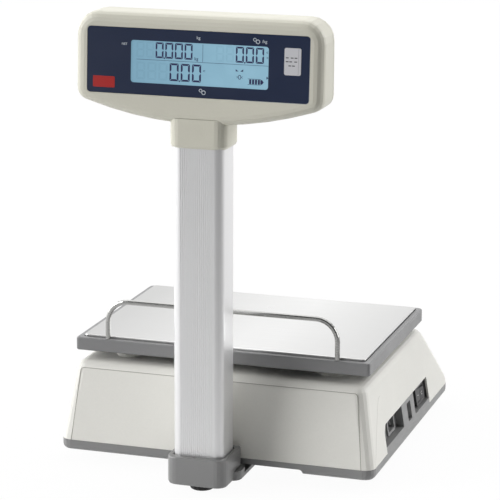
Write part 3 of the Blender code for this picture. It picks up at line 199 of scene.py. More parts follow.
def on_slope(x, up, depth):
    """A point on the operator's slope, from its middle. Up runs uphill."""
    downhill = (SLOPE_FOOT - SLOPE_HEAD).normalized()
    outward = Vector((-downhill.y, downhill.x))
    y, z = (SLOPE_FOOT + SLOPE_HEAD) / 2 - downhill * up - outward * depth
    return Vector((x, y, z))


def from_operator(x, up, depth):
    """The operator's slope as its reader sees it, with +X to the left."""
    return on_slope(-x, up, depth)


def on_side(y, z, depth):
    """A point on the cover's +X side, which leans in as it rises."""
    return Vector((SIDE_FOOT[0] - SIDE_LEAN * (z - SIDE_FOOT[1]) - depth, y, z))


def on_back(x, z, depth):
    return Vector((x, BACK_Y - depth, z))


def on_customer_side(x, z, depth):
    """A point on the cover's customer side, which rounds over into the top."""
    rise = max(0.0, z - COVER_ROUND_Z)
    back = COVER_EDGE_R - math.sqrt(COVER_EDGE_R**2 - rise**2)
    return Vector((x, CUSTOMER_FOOT[0] + CUSTOMER_LEAN * (z - CUSTOMER_FOOT[1]) + back + depth, z))


def on_rocker(along, rise, depth):
    """A point on the tilted rocker's face: along its length and up its width."""
    out = ROCKER_FACE - depth
    turned_along = along * math.cos(ROCKER_REST) + out * math.sin(ROCKER_REST)
    turned_out = out * math.cos(ROCKER_REST) - along * math.sin(ROCKER_REST)
    axis = on_side(*ROCKER_CENTRE, ROCKER_AXIS_DEPTH)
    lean = math.atan(SIDE_LEAN)
    x = turned_out * math.cos(lean) - rise * math.sin(lean)
    return axis + Vector((x, turned_along, rise))


# ---------------------------------------------------------------- outlines


def arc(centre, radius, start, end, steps):
    angles = [math.radians(start + (end - start) * k / steps) for k in range(steps + 1)]
    return [(centre[0] + radius * math.cos(a), centre[1] + radius * math.sin(a)) for a in angles]


def circle(centre, radius):
    return arc(centre, radius, 0, 360, CIRCLE_STEPS)[:-1]


def rounded(low, high, radius, steps=4):
    points = arc((low[0] + radius, low[1] + radius), radius, 180, 270, steps)
    points += arc((high[0] - radius, low[1] + radius), radius, 270, 360, steps)
    points += arc((high[0] - radius, high[1] - radius), radius, 0, 90, steps)
    points += arc((low[0] + radius, high[1] - radius), radius, 90, 180, steps)
    return points


def box_about(centre, width, height, radius, steps=3):
    low = (centre[0] - width / 2, centre[1] - height / 2)
    high = (centre[0] + width / 2, centre[1] + height / 2)
    return rounded(low, high, radius, steps)


def bar(start, end, width):
    """A straight stroke between two points."""
    first, second = Vector(start), Vector(end)
    ahead = (second - first).normalized()
    aside = Vector((-ahead.y, ahead.x)) * width / 2
    corners = (first - aside, second - aside, second + aside, first + aside)
    return [tuple(corner) for corner in corners]


def strip(path, width):
    """A bent stroke of even width along a path."""
    points = [Vector(point) for point in path]
    left, right = [], []
    for i, here in enumerate(points):
        ahead = (points[min(i + 1, len(points) - 1)] - points[max(i - 1, 0)]).normalized()
        aside = Vector((-ahead.y, ahead.x)) * width / 2
        left.append(tuple(here + aside))
        right.append(tuple(here - aside))
    return right + left[::-1]


def shrunk(outline, amount):
    """The outline moved in by an amount along each corner's bisector."""
    points = [Vector(point) for point in outline]
    area = sum(a.x * b.y - b.x * a.y for a, b in zip(points, points[1:] + points[:1]))
    turn = 1 if area > 0 else -1
    result = []
    for i, here in enumerate(points):
        back = (here - points[i - 1]).normalized()
        ahead = (points[(i + 1) % len(points)] - here).normalized()
        inward = Vector((-back.y - ahead.y, back.x + ahead.x)) * turn
        half = max(inward.length / 2, 0.5)
        result.append(tuple(here + inward.normalized() * (amount / half)))
    return result


def segments(left, top, size, lit="abcdef"):
    """The strokes of one seven-segment digit."""
    width, height, stroke = size
    gap = stroke * SEGMENT_GAP
    x0, x1, z1, z0 = left, left + width, top, top - height
    middle = (z0 + z1) / 2
    half = stroke / 2
    notch = stroke * SEGMENT_NOTCH
    inner0, inner1 = x0 + stroke + gap, x1 - stroke - gap
    shapes = {
        "a": [(x0 + gap, z1), (x1 - gap, z1), (inner1, z1 - stroke), (inner0, z1 - stroke)],
        "d": [(x0 + gap, z0), (inner0, z0 + stroke), (inner1, z0 + stroke), (x1 - gap, z0)],
        "g": [
            (x0 + stroke, middle + half),
            (x0 + half, middle),
            (x0 + stroke, middle - half),
            (x1 - stroke, middle - half),
            (x1 - half, middle),
            (x1 - stroke, middle + half),
        ],
    }
    for side, edge, upper, lower in ((1, x0, "f", "e"), (-1, x1, "b", "c")):
        inner = edge + side * stroke
        shapes[upper] = [
            (edge, z1 - gap),
            (edge, middle + gap + notch),
            (edge + side * notch, middle + gap),
            (inner, middle + gap + half + notch),
            (inner, z1 - stroke - gap),
        ]
        shapes[lower] = [
            (edge, z0 + gap),
            (edge, middle - gap - notch),
            (edge + side * notch, middle - gap),
            (inner, middle - gap - half - notch),
            (inner, z0 + stroke + gap),
        ]
    return [shapes[name] for name in lit]


# ---------------------------------------------------------------- pieces


def piece(name, mesh, body, paint):
    """Puts a finished mesh in the scene as a piece of the object."""
    mesh.materials.append(paint)
    obj = bpy.data.objects.new(name, mesh)
    bpy.context.scene.collection.objects.link(obj)
    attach(obj, body)
    return obj


def closed(name, edit):
    """The finished mesh, with its faces pointing out."""
    bmesh.ops.recalc_face_normals(edit, faces=edit.faces)
    mesh = bpy.data.meshes.new(name)
    edit.to_mesh(mesh)
    edit.free()
    return mesh


def raised(name, outlines, place, rise):
    """Flat-topped shapes with a bevelled rim. The rise gives their foot, their top and the bevel."""
    bottom, top, bevel = rise
    edit = bmesh.new()
    for outline in outlines:
        levels = ((outline, bottom), (outline, top + bevel), (shrunk(outline, bevel), top))
        rings = []
        for ring, depth in levels:
            rings.append([edit.verts.new(place(u, v, depth)) for u, v in ring])
        count = len(outline)
        for low, high in zip(rings, rings[1:]):
            for i in range(count):
                j = (i + 1) % count
                edit.faces.new((low[i], low[j], high[j], high[i]))
        edit.faces.new(rings[0][::-1])
        edit.faces.new(rings[-1])
    return closed(name, edit)


def sunk(rise, depth):
    """The same rise, starting from the floor of a recess."""
    bottom, top, bevel = rise
    return (bottom + depth, top + depth, bevel)


def frames(name, pairs, place, bottom, top):
    """Thin raised outlines, each between an outer and an inner shape of the same point count."""
    edit = bmesh.new()
    for outer, inner in pairs:
        rings = []
        for ring, depth in ((outer, bottom), (outer, top), (inner, top), (inner, bottom)):
            rings.append([edit.verts.new(place(u, v, depth)) for u, v in ring])
        count = len(outer)
        for low, high in zip(rings, rings[1:] + rings[:1]):
            for i in range(count):
                j = (i + 1) % count
                edit.faces.new((low[i], low[j], high[j], high[i]))
    return closed(name, edit)


def lettering(name, labels, place, depth, thickness):
    """Generic printed characters: (text, middle u, middle v, height) each."""
    merged = bmesh.new()
    for text, u, v, height in labels:
        curve = bpy.data.curves.new(name, "FONT")
        curve.body = text
        curve.size = height * 1.4
        curve.align_x = "CENTER"
        curve.align_y = "CENTER"
        curve.extrude = thickness / 2
        curve.offset = height * 0.02
        curve.resolution_u = 3  # the letters are only a few millimetres high
        holder = bpy.data.objects.new(name, curve)
        bpy.context.scene.collection.objects.link(holder)
        graph = bpy.context.evaluated_depsgraph_get()
        shape = bpy.data.meshes.new_from_object(holder.evaluated_get(graph))
        for vertex in shape.vertices:
            x, y, z = vertex.co
            vertex.co = place(u + x, v + y, depth - z)
        merged.from_mesh(shape)
        bpy.data.objects.remove(holder)
        bpy.data.curves.remove(curve)
        bpy.data.meshes.remove(shape)
    bmesh.ops.remove_doubles(merged, verts=merged.verts, dist=1e-7)
    return closed(name, merged)


# ---------------------------------------------------------------- materials


def linear(red, green, blue):
    """A linear colour from screen values between 0 and 255."""
    parts = [value / 255 for value in (red, green, blue)]
    parts = [p / 12.92 if p <= 0.04045 else ((p + 0.055) / 1.055) ** 2.4 for p in parts]
    return (*parts, 1.0)


def scaled(colour, factor):
    return tuple(min(part * factor, 1.0) for part in colour[:3]) + (1.0,)


def add(tree, kind, sockets=None, **settings):
    """Adds a shader node, with values or links on its sockets."""
    made = tree.nodes.new("ShaderNode" + kind)
    for key, value in settings.items():
        setattr(made, key, value)
    for key, value in (sockets or {}).items():
        if isinstance(value, bpy.types.NodeSocket):
            tree.links.new(value, made.inputs[key])
        else:
            made.inputs[key].default_value = value
    return made


def noise(tree, place, scale, detail=3.0, rough=0.55, distortion=0.0):
    sockets = {"Vector": place, "Scale": scale, "Detail": detail}
    sockets |= {"Roughness": rough, "Distortion": distortion}
    return add(tree, "TexNoise", sockets).outputs["Fac"]


def spread(tree, value, low, high, source=(0.3, 0.7)):
    """Maps a value from a source range to a range. The source fits what noise mostly gives."""
    sockets = {"Value": value, "To Min": low, "To Max": high}
    sockets |= {"From Min": source[0], "From Max": source[1]}
    return add(tree, "MapRange", sockets).outputs["Result"]


def blended(tree, factor, first, second):
    return add(tree, "MixRGB", {"Fac": factor, "Color1": first, "Color2": second}).outputs["Color"]


def between_tones(tree, value, colour, tone):
    """A noise-driven mix of a colour's darker and lighter tone."""
    return blended(tree, spread(tree, value, 0.0, 1.0), scaled(colour, 1 - tone), scaled(colour, 1 + tone))


def start(name, metallic=0.0):
    """A new material, with its tree, its shader and the place on the object, in metres."""
    paint = bpy.data.materials.new(name)
    paint.use_nodes = True
    tree = paint.node_tree
    shader = tree.nodes["Principled BSDF"]
    shader.inputs["Metallic"].default_value = metallic
    place = add(tree, "TexCoord").outputs["Object"]
    return paint, tree, shader, place


def finish_surface(tree, shader, colour, roughness, height, strength, distance):
    """Links a shader's colour, its roughness, and a bump from a height."""
    bump = add(tree, "Bump", {"Height": height, "Strength": strength, "Distance": distance})
    tree.links.new(colour, shader.inputs["Base Color"])
    tree.links.new(roughness, shader.inputs["Roughness"])
    tree.links.new(bump.outputs["Normal"], shader.inputs["Normal"])


def plastic(name, colour, roughness, grain=2200.0, strength=0.10, tone=0.03, specular=0.5):
    """Moulded plastic with a fine sparked texture, faint flow marks and handling sheen."""
    paint, tree, shader, place = start(name)
    shader.inputs["Specular IOR Level"].default_value = specular
    flow = noise(tree, place, 7.0, 4.0, 0.5, 0.6)
    speck = noise(tree, place, 420.0, 2.0)
    mixed = between_tones(tree, flow, colour, tone)
    final = blended(tree, spread(tree, speck, 0.0, 0.10), mixed, scaled(colour, 0.80))
    sheen = spread(tree, noise(tree, place, 38.0, 5.0, 0.6, 0.3), roughness - 0.05, roughness + 0.06)
    pits = noise(tree, place, grain, 2.0, 0.65)
    finish_surface(tree, shader, final, sheen, pits, strength, 0.0002)
    return paint


def brushed(name, colour, roughness, stretch, strength=0.10, metallic=1.0):
    """Metal with fine lines along the axis where the stretch is small."""
    paint, tree, shader, place = start(name, metallic)
    lines = add(tree, "Mapping", {"Vector": place, "Scale": stretch}).outputs["Vector"]
    grain = noise(tree, lines, 1.0, 4.0, 0.6)
    cloud = noise(tree, place, 11.0, 4.0, 0.55, 0.4)
    tint = between_tones(tree, grain, colour, 0.04)
    final = blended(tree, spread(tree, cloud, 0.0, 0.15), tint, scaled(colour, 0.88))
    rough = spread(tree, grain, roughness - 0.05, roughness + 0.07)
    finish_surface(tree, shader, final, rough, grain, strength, 0.0001)
    return paint


def platter_steel():
    """The platter's satin steel, with a painted reflection: its colour darkens towards its two sides, so
    its middle looks brightest.
    """
    paint, tree, shader, place = start("satin_steel", 1.0)
    lines = add(tree, "Mapping", {"Vector": place, "Scale": (9.0, 1900.0, 1900.0)}).outputs["Vector"]
    grain = noise(tree, lines, 1.0, 4.0, 0.6)
    # Painted reflection: the colour darkens towards both sides, so the middle looks brightest.
    across = add(tree, "SeparateXYZ", {"Vector": place}).outputs["X"]
    left = spread(tree, across, 1.0, 0.0, REFLECTION_FADE_LEFT)
    right = spread(tree, across, 0.0, 0.75, REFLECTION_FADE_RIGHT)
    reflection_fade = add(tree, "Math", {0: left, 1: right}, operation="MAXIMUM").outputs["Value"]
    tint = blended(tree, spread(tree, grain, 0.0, 1.0), (0.66, 0.66, 0.655, 1.0), (0.72, 0.72, 0.715, 1.0))
    final = blended(tree, reflection_fade, tint, (0.50, 0.50, 0.495, 1.0))
    cloud = noise(tree, place, 11.0, 4.0, 0.55, 0.4)
    finish_surface(tree, shader, final, spread(tree, cloud, 0.27, 0.36), grain, 0.08, 0.0001)
    return paint


def ink_and_painted_light(name, colour, roughness=0.5):
    """Printed or etched marks, and painted highlight and shade lines, a little uneven at the scale of a
    screen print.
    """
    paint, tree, shader, place = start(name)
    blot = noise(tree, place, 900.0, 3.0)
    final = blended(tree, spread(tree, blot, 0.0, 0.22), colour, scaled(colour, 0.72))
    rough = spread(tree, noise(tree, place, 260.0), roughness - 0.08, roughness + 0.08)
    finish_surface(tree, shader, final, rough, blot, 0.05, 0.00005)
    return paint


def film(name, colour, roughness, coat):
    """Printed polyester film with a fine frosted surface."""
    paint, tree, shader, place = start(name)
    shader.inputs["Coat Weight"].default_value = coat
    shader.inputs["Coat Roughness"].default_value = 0.12
    cloud = noise(tree, place, 6.0, 1.0, 0.4)
    final = blended(tree, spread(tree, cloud, 0.0, 1.0), scaled(colour, 0.95), scaled(colour, 1.06))
    rough = spread(tree, noise(tree, place, 24.0, 1.0), roughness - 0.03, roughness + 0.03)
    frost = noise(tree, place, 1500.0, 2.0)
    finish_surface(tree, shader, final, rough, frost, 0.06, 0.00008)
    return paint


def lit_screen(name, dim, bright, span):
    """A backlit LCD: brighter towards one end, with a faint mottle from its diffuser."""
    paint, tree, shader, place = start(name)
    across = add(tree, "SeparateXYZ", {"Vector": place}).outputs["X"]
    ramp = spread(tree, across, 0.0, 1.0, span)
    mottle = noise(tree, place, 32.0, 3.0, 0.5, 0.5)
    base = blended(tree, ramp, dim, bright)
    final = blended(tree, spread(tree, mottle, 0.0, 0.35), base, scaled(dim, 0.90))
    shader.inputs["Emission Strength"].default_value = SCREEN_GLOW
    tree.links.new(final, shader.inputs["Emission Color"])
    rough = spread(tree, noise(tree, place, 90.0), 0.14, 0.22)
    reflected = blended(tree, 0.75, final, BLACK)
    finish_surface(tree, shader, reflected, rough, noise(tree, place, 1100.0), 0.02, 0.00005)
    return paint


BASE_CREAM = linear(226, 225, 219)
HEAD_CREAM = linear(218, 216, 202)
GREY = linear(128, 128, 128)
BLACK = (0.0, 0.0, 0.0, 1.0)
WHITE = (1.0, 1.0, 1.0, 1.0)
SCREEN_DIM = linear(124, 166, 188)
SCREEN_BRIGHT = linear(148, 190, 210)
GHOST_DIM = linear(120, 161, 183)
GHOST_BRIGHT = linear(143, 185, 205)
SCREEN_INK = linear(34, 36, 84)
SCREEN_LINE = linear(62, 84, 118)
SCREEN_GLOW = 0.80
CUSTOMER_SPAN = (WINDOW[0][0], WINDOW[1][0])  # from the dim end to the bright one, in x
OPERATOR_SPAN = (OPERATOR_WINDOW[1][0], OPERATOR_WINDOW[0][0])
REFLECTION_FADE_LEFT = (-0.15, 0.01)  # where the painted reflection falloff on the platter's left side ends, in x
REFLECTION_FADE_RIGHT = (0.05, 0.17)


def paint_cad():
    """Gives every CAD node its finish."""
    cream = plastic("cream_base", BASE_CREAM, 0.44)
    cream_head = plastic("cream_head", HEAD_CREAM, 0.40)
    grey = plastic("grey_moulding", GREY, 0.36, 2600.0, 0.12, specular=0.7)
    black = plastic("black_moulding", linear(38, 38, 40), 0.36, 2400.0, 0.10, 0.08)
    rubber = plastic("rubber", linear(30, 30, 31), 0.68, 1500.0, 0.22, 0.10, 0.3)
    steel = platter_steel()
    rail = brushed("rail_steel", (0.42, 0.42, 0.41, 1.0), 0.24, (60.0, 900.0, 900.0), 0.05)
    zinc = brushed("zinc", (0.58, 0.58, 0.56, 1.0), 0.34, (500.0, 500.0, 500.0), 0.12)
    cast = plastic("cast_metal", linear(170, 172, 174), 0.55, 600.0, 0.35)
    board = plastic("solder_mask", linear(22, 92, 52), 0.35, 700.0, 0.15)
    core = plastic("laminations", linear(92, 82, 70), 0.55, 900.0, 0.25)
    overlay = film("navy_film", linear(8, 29, 62), 0.34, 0.08)
    keypad = film("keypad_film", linear(58, 66, 78), 0.40, 0.10)
    screen = lit_screen("screen", SCREEN_DIM, SCREEN_BRIGHT, CUSTOMER_SPAN)
    operator = lit_screen("operator_screen", SCREEN_DIM, SCREEN_BRIGHT, OPERATOR_SPAN)
    diffuser = plastic("diffuser", linear(225, 232, 238), 0.5)
    vial = plastic("vial", linear(168, 205, 60), 0.12, 500.0, 0.02)
    finishes = {
        "base_tray": grey,
        "column_bracket": grey,
        "pan_carrier": plastic("carrier_moulding", linear(126, 126, 127), 0.33, 2600.0, 0.10),
        "top_cover": cream,
        "customer_panel": cream,
        "head_front_shell": cream_head,
        "head_rear_shell": cream_head,
        "head_neck": cream_head,
        "keypad_panel": keypad,
        "display_overlay": overlay,
        "customer_lcd": screen,
        "operator_lcd": operator,
        "lcd_backlight": diffuser,
        "platter": steel,
        "guard_rail": rail,
        "load_frame": cast,
        "power_inlet": plastic("inlet_moulding", linear(140, 140, 140), 0.40),
        "serial_port": plastic("port_moulding", linear(222, 222, 220), 0.40),
        "load_cell": brushed("cell_aluminium", (0.72, 0.73, 0.74, 1.0), 0.38, (30.0, 700.0, 700.0), 0.10),
        "power_transformer": core,
        "bubble_level": vial,
    }
    groups = {
        "board": board,
        "cushion": rubber,
        "screw": zinc,
        "spacer": zinc,
        "foot_stud": zinc,
        "foot_wheel": plastic("wheel_moulding", linear(20, 20, 21), 0.42, 2400.0, 0.12, 0.10, 0.35),
    }
    for name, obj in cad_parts.items():
        paint = finishes.get(name)
        if paint is None:
            paint = next((finish for word, finish in groups.items() if word in name), black)
        for holder in obj.material_slots:
            holder.material = paint


# ---------------------------------------------------------------- customer display


def row_of_digits(row, size):
    left, top, pitch, count = row
    shapes = []
    for k in range(count):
        shapes += segments(left + pitch * k, top, size)
    return shapes


def point_after(row, size, index):
    """The decimal point after a digit."""
    left, top, pitch, _ = row
    width, height, stroke = size
    middle = left + pitch * index + (pitch + width) / 2
    return box_about((middle, top - height + stroke * 0.1), POINT_SIZE, POINT_SIZE, POINT_SIZE / 5)


def chevron(tip, reach, rise):
    """A small arrow of two strokes: a positive reach has them run to the right of the tip."""
    x, z = tip
    return [bar((x, z), (x + reach, z + rise), 0.0004), bar((x, z), (x + reach, z - rise), 0.0004)]


def battery():
    """A battery mark of upright bars with a pointed end."""
    (x, z), (width, height) = BATTERY
    bar_width, pitch = BATTERY_BAR
    bars = []
    for k in range(4):
        middle = x + 0.0016 + k * pitch + bar_width / 2
        bars.append(box_about((middle, z + height / 2), bar_width, height * 0.78, 0.0002))
    tip = x + width
    base, slant = (tip - length for length in BATTERY_TIP)
    low, high = z + 0.0008, z + height - 0.0008
    bars.append([(base, low), (slant, low), (tip, z + height / 2), (slant, high), (base, high)])
    for edge in (z + 0.0002, z + height - 0.0002):
        bars.append(bar((x, edge), (tip - 0.003, edge), 0.0004))
    return bars


def lcd_piece(name, shapes, rise, paint):
    """Marks on the customer LCD, just in front of its glass."""
    mesh = raised(name, shapes, on_face, sunk(rise, FACE_RECESS))
    piece(name, mesh, "scale_body", paint)


def customer_display():
    dark = ink_and_painted_light("lcd_segment", SCREEN_INK, 0.4)
    rows = ((WEIGHT_DIGITS, SMALL_DIGIT), (PRICE_DIGITS, SMALL_DIGIT), (TOTAL_DIGITS, LARGE_DIGIT))
    shapes = []
    for row, size in rows:
        shapes += row_of_digits(row, size)
    shapes += [point_after(row, size, 0) for row, size in rows]
    shapes += [list(SIDE_ARROW), list(LEFT_WEDGE), list(RIGHT_WEDGE)]
    lcd_piece("customer_segments", shapes + battery(), LCD_RISE, dark)
    lcd_piece("customer_lines", fine_lines(), LCD_RISE, ink_and_painted_light("lcd_line", SCREEN_LINE, 0.4))
    bottom, top, _ = sunk(LCD_RISE, FACE_RECESS)
    rings = tuple(box_about(ZERO_MARK, *ring, 5) for ring in ZERO_RINGS)
    mesh = frames("customer_zero_mark", [rings], on_face, bottom, top)
    piece("customer_zero_mark", mesh, "scale_body", dark)
    mesh = lettering("customer_unit", [SCREEN_UNIT], on_face, (top + bottom) / 2, 0.0001)
    piece("customer_unit", mesh, "scale_body", ink_and_painted_light("lcd_unit", SCREEN_LINE, 0.4))
    unlit_digits(rows)


def fine_lines():
    """The display's dividing lines and small arrows."""
    lines = [bar((DIVIDER_X[0], DIVIDER_Z), (DIVIDER_X[1], DIVIDER_Z), FINE_LINE)]
    x, low, high = UPRIGHT
    lines.append(bar((x, low), (x, high), FINE_LINE))
    for x, z, reach in ROW_ARROWS:
        lines += chevron((x, z), reach, 0.0009)
    for x, reach in ZERO_ARROWS:
        lines += chevron((x, ZERO_MARK[1]), reach, 0.0010)
    left, right, heights = SHORT_LINES
    lines += [bar((left, z), (right, z), 0.0004) for z in heights]
    return lines


def unlit_digits(rows):
    """The faint outlines of the digits that aren't lit, left of those that are."""
    shapes = []
    for row, size in rows:
        left, top, pitch, _ = row
        for k in range(1, UNLIT_PLACES[size] + 1):
            shapes += segments(left - k * pitch, top, size, "abcdefg")
    paint = lit_screen("ghost", GHOST_DIM, GHOST_BRIGHT, CUSTOMER_SPAN)
    lcd_piece("customer_unlit", shapes, UNLIT_RISE, paint)


def overlay_piece(name, shapes, rise, paint):
    mesh = raised(name, shapes, on_face, rise)
    piece(name, mesh, "scale_body", paint)


def overlay_prints():
    """The white units and coins, the bright rim painted as a highlight, the badge and the sticker."""
    white = ink_and_painted_light("white_ink", linear(196, 204, 212), 0.45)
    mesh = lettering("overlay_units", UNITS, on_face, -0.00002, 0.00008)
    piece("overlay_units", mesh, "scale_body", white)
    coins = []
    for x, z in COIN_PAIRS:
        for dx, dz, radius in COINS:
            centre = (x + dx, z + dz)
            coins.append((circle(centre, radius), circle(centre, radius * COIN_HOLE)))
    mesh = frames("overlay_coins", coins, on_face, *COIN_RISE)
    piece("overlay_coins", mesh, "scale_body", white)
    right, low = RIM_OUTSIDE
    high, left = RIM_ENDS
    turn_z, turn_x = RIM_TURNS
    corner = arc((right - RIM_R, low + RIM_R), RIM_R, 0, -90, 6)
    rim = [(right, high), (right, turn_z)] + corner + [(turn_x, low), (left, low)]
    # The bright rim is a painted highlight along the overlay's right and bottom edges.
    rim_highlight_paint = ink_and_painted_light("painted_rim_highlight", linear(176, 180, 184), 0.35)
    overlay_piece("overlay_rim", [strip(rim, RIM_WIDTH)], RIM_RISE, rim_highlight_paint)
    badge_paint = film("badge_film", linear(176, 32, 30), 0.35, 0.1)
    overlay_piece("overlay_badge", [rounded(*BADGE)], BADGE_RISE, badge_paint)
    sticker()


def sticker():
    """The blank rating sticker, with dashes for its lines of print and a painted shade line for a fold
    near its edge.
    """
    paint = film("label_film", linear(208, 208, 212), 0.42, 0.05)
    overlay_piece("overlay_label", [rounded(*LABEL, 5)], LABEL_RISE, paint)
    length, width = DASH
    dashes = [bar((x, z), (x + length, z), width) for z, starts in DASH_ROWS for x in starts]
    dash_ink = ink_and_painted_light("label_ink", linear(92, 92, 98), 0.5)
    overlay_piece("label_dashes", dashes, DASH_RISE, dash_ink)
    # The fold is painted shade: a darker line along its crease.
    x, low, high = LABEL_FOLD
    painted_fold_shade = ink_and_painted_light("painted_fold_shade", linear(160, 160, 166), 0.5)
    overlay_piece("label_fold", [bar((x, low), (x, high), FOLD_WIDTH)], FOLD_RISE, painted_fold_shade)


# ---------------------------------------------------------------- operator side


def operator_side():
    """The operator's digits and keys."""
    shapes = []
    (_, low), (_, high) = OPERATOR_WINDOW
    top = (OPERATOR_DIGIT[1] - low - high) / 2
    for left, pointed in OPERATOR_ROWS:
        row = (left, top, OPERATOR_PITCH, OPERATOR_COUNT)
        shapes += row_of_digits(row, OPERATOR_DIGIT)
        shapes.append(point_after(row, OPERATOR_DIGIT, pointed))
    mesh = raised("operator_segments", shapes, from_operator, sunk(LCD_RISE, SLOPE_RECESS))
    piece("operator_segments", mesh, "scale_body", ink_and_painted_light("operator_segment", SCREEN_INK, 0.4))
    keys()


def keys():
    """The membrane keys: blank price keys on the left, and a block of digits on the right."""
    paints = {
        "pale": film("key_pale", linear(205, 207, 205), 0.45, 0.05),
        "navy": film("key_navy", linear(44, 62, 96), 0.42, 0.05),
        "red": film("key_red", linear(150, 52, 46), 0.42, 0.05),
    }
    shapes = {kind: [] for kind in paints}
    first, pitch, count = PRICE_KEYS
    rows = range(len(NUMBER_ROWS))
    for row in rows:
        for column in range(count):
            centre = (first + column * pitch, KEY_TOP_ROW - row * KEY_ROW_PITCH)
            shapes["navy"].append(box_about(centre, *PRICE_KEY))
    labels = []
    first, pitch, count = NUMBER_KEYS
    for row in rows:
        text = NUMBER_ROWS[row]
        for column in range(count):
            x, up = first + column * pitch, KEY_TOP_ROW - row * KEY_ROW_PITCH
            kind = "pale" if column < PALE_COLUMNS else "navy"
            if (column, row) == RED_KEY:
                kind = "red"
            shapes[kind].append(box_about((x, up), *NUMBER_KEY))
            if column < len(text):
                labels.append((text[column], x, up, KEY_DIGIT_HEIGHT))
    for kind, paint in paints.items():
        mesh = raised(f"keys_{kind}", shapes[kind], from_operator, KEY_RISE)
        piece(f"keys_{kind}", mesh, "scale_body", paint)
    mesh = lettering("key_digits", labels, from_operator, -0.00032, 0.00008)
    piece("key_digits", mesh, "scale_body", ink_and_painted_light("key_mark", linear(40, 44, 52), 0.5))


# ---------------------------------------------------------------- small details


def rocker_marks():
    """The ring and the stroke on the rocker, for off and on."""
    white = ink_and_painted_light("rocker_ink", linear(215, 215, 212), 0.45)
    ring = (circle(OFF_MARK, 0.0021), circle(OFF_MARK, 0.0014))
    mesh = frames("rocker_off_mark", [ring], on_rocker, *STROKE_RISE[:2])
    piece("rocker_off_mark", mesh, "rocker", white)
    stroke = bar(*ON_MARK, 0.0008)
    mesh = raised("rocker_on_mark", [stroke], on_rocker, STROKE_RISE)
    piece("rocker_on_mark", mesh, "rocker", white)


def grooved_outline(low, high):
    """The column's outside, from above, with its grooves in the customer's side."""
    corners = rounded((low.x, low.y), (high.x, high.y), COLUMN_CORNER, CORNER_STEPS)
    half, floor_half = GROOVE_WIDTH / 2, GROOVE_WIDTH / 2 - GROOVE_SLANT
    floor_y = low.y + GROOVE_DEPTH
    grooves = []
    for k in range(GROOVE_COUNT):
        middle = -GROOVE_SPAN + 2 * GROOVE_SPAN * k / (GROOVE_COUNT - 1)
        grooves += [(middle - half, low.y), (middle - floor_half, floor_y)]
        grooves += [(middle + floor_half, floor_y), (middle + half, low.y)]
    first_corner = CORNER_STEPS + 1
    return corners[:first_corner] + grooves + corners[first_corner:]


def column():
    """The extruded column: a tube with round corners and a finely grooved face."""
    low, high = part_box("column")
    inner_low = (low.x + COLUMN_WALL, low.y + COLUMN_WALL)
    inner_high = (high.x - COLUMN_WALL, high.y - COLUMN_WALL)
    inside = rounded(inner_low, inner_high, COLUMN_CORNER - COLUMN_WALL, CORNER_STEPS)
    edit = bmesh.new()
    rims = ([], [])
    for outline in (grooved_outline(low, high), inside):
        ends = [[edit.verts.new((x, y, z)) for x, y in outline] for z in (low.z, high.z)]
        for i in range(len(outline)):
            j = (i + 1) % len(outline)
            face = edit.faces.new((ends[0][i], ends[0][j], ends[1][j], ends[1][i]))
            face.smooth = True
            for rim, end in zip(rims, ends):
                rim.append(edit.edges.get((end[i], end[j])))
    for rim in rims:
        bmesh.ops.triangle_fill(edit, use_beauty=True, use_dissolve=False, edges=rim)
    mesh = closed("column_body", edit)
    mesh.set_sharp_from_angle(angle=math.radians(25))
    paint = brushed("extrusion", (0.80, 0.80, 0.805, 1.0), 0.36, (1700.0, 1700.0, 7.0), 0.10, 0.65)
    obj = piece("column_body", mesh, "scale_body", paint)
    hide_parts("column")


def port_contacts():
    """The pale tongue and the contacts inside the data socket."""
    y, z = PORT_CENTRE
    tongue = rounded((y - 0.0050, z - 0.0012), (y + 0.0050, z + 0.0040), 0.0004)
    mesh = raised("port_tongue", [tongue], on_side, TONGUE_RISE)
    pale = plastic("port_tongue", linear(205, 205, 200), 0.4)
    piece("port_tongue", mesh, "scale_body", pale)
    places = [y + PIN_PITCH * (k - (PIN_COUNT - 1) / 2) for k in range(PIN_COUNT)]
    pins = [bar((place, z - 0.0006), (place, z + 0.0034), PIN_WIDTH) for place in places]
    mesh = raised("port_pins", pins, on_side, PIN_RISE)
    piece("port_pins", mesh, "scale_body", ink_and_painted_light("port_pin", linear(90, 84, 60), 0.35))


def side_seam():
    """A painted shade line for the shallow step in the cover's side wall, close to the customer's corner.
    """
    path = list(SEAM_FOOT) + arc(*SEAM_BEND, 6)
    mesh = raised("side_seam", [strip(path, SEAM_WIDTH)], on_side, SIDE_SEAM_RISE)
    piece("side_seam", mesh, "scale_body", ink_and_painted_light("seam_shade", linear(186, 185, 178), 0.5))


def panel_seam():
    """A painted shade line: the dark line in the gap round the customer-side panel."""
    foot, (top_x, top_z), radius = PANEL_OUTLINE
    half = [foot] + arc((top_x - radius, top_z - radius), radius, 4, 90, 6)
    steps = range(PANEL_TOP_STEPS - 1, 0, -1)
    half += [((top_x - radius) * k / PANEL_TOP_STEPS, top_z) for k in steps]
    path = half + [(0.0, top_z)] + [(-x, z) for x, z in half[::-1]]
    # The line is painted shade, standing in for the shade inside the gap.
    seam = strip(path, PANEL_SEAM_WIDTH)
    mesh = raised("panel_seam", [seam], on_customer_side, PANEL_SEAM_RISE)
    piece("panel_seam", mesh, "scale_body", ink_and_painted_light("painted_seam_shade", linear(150, 147, 138), 0.6))


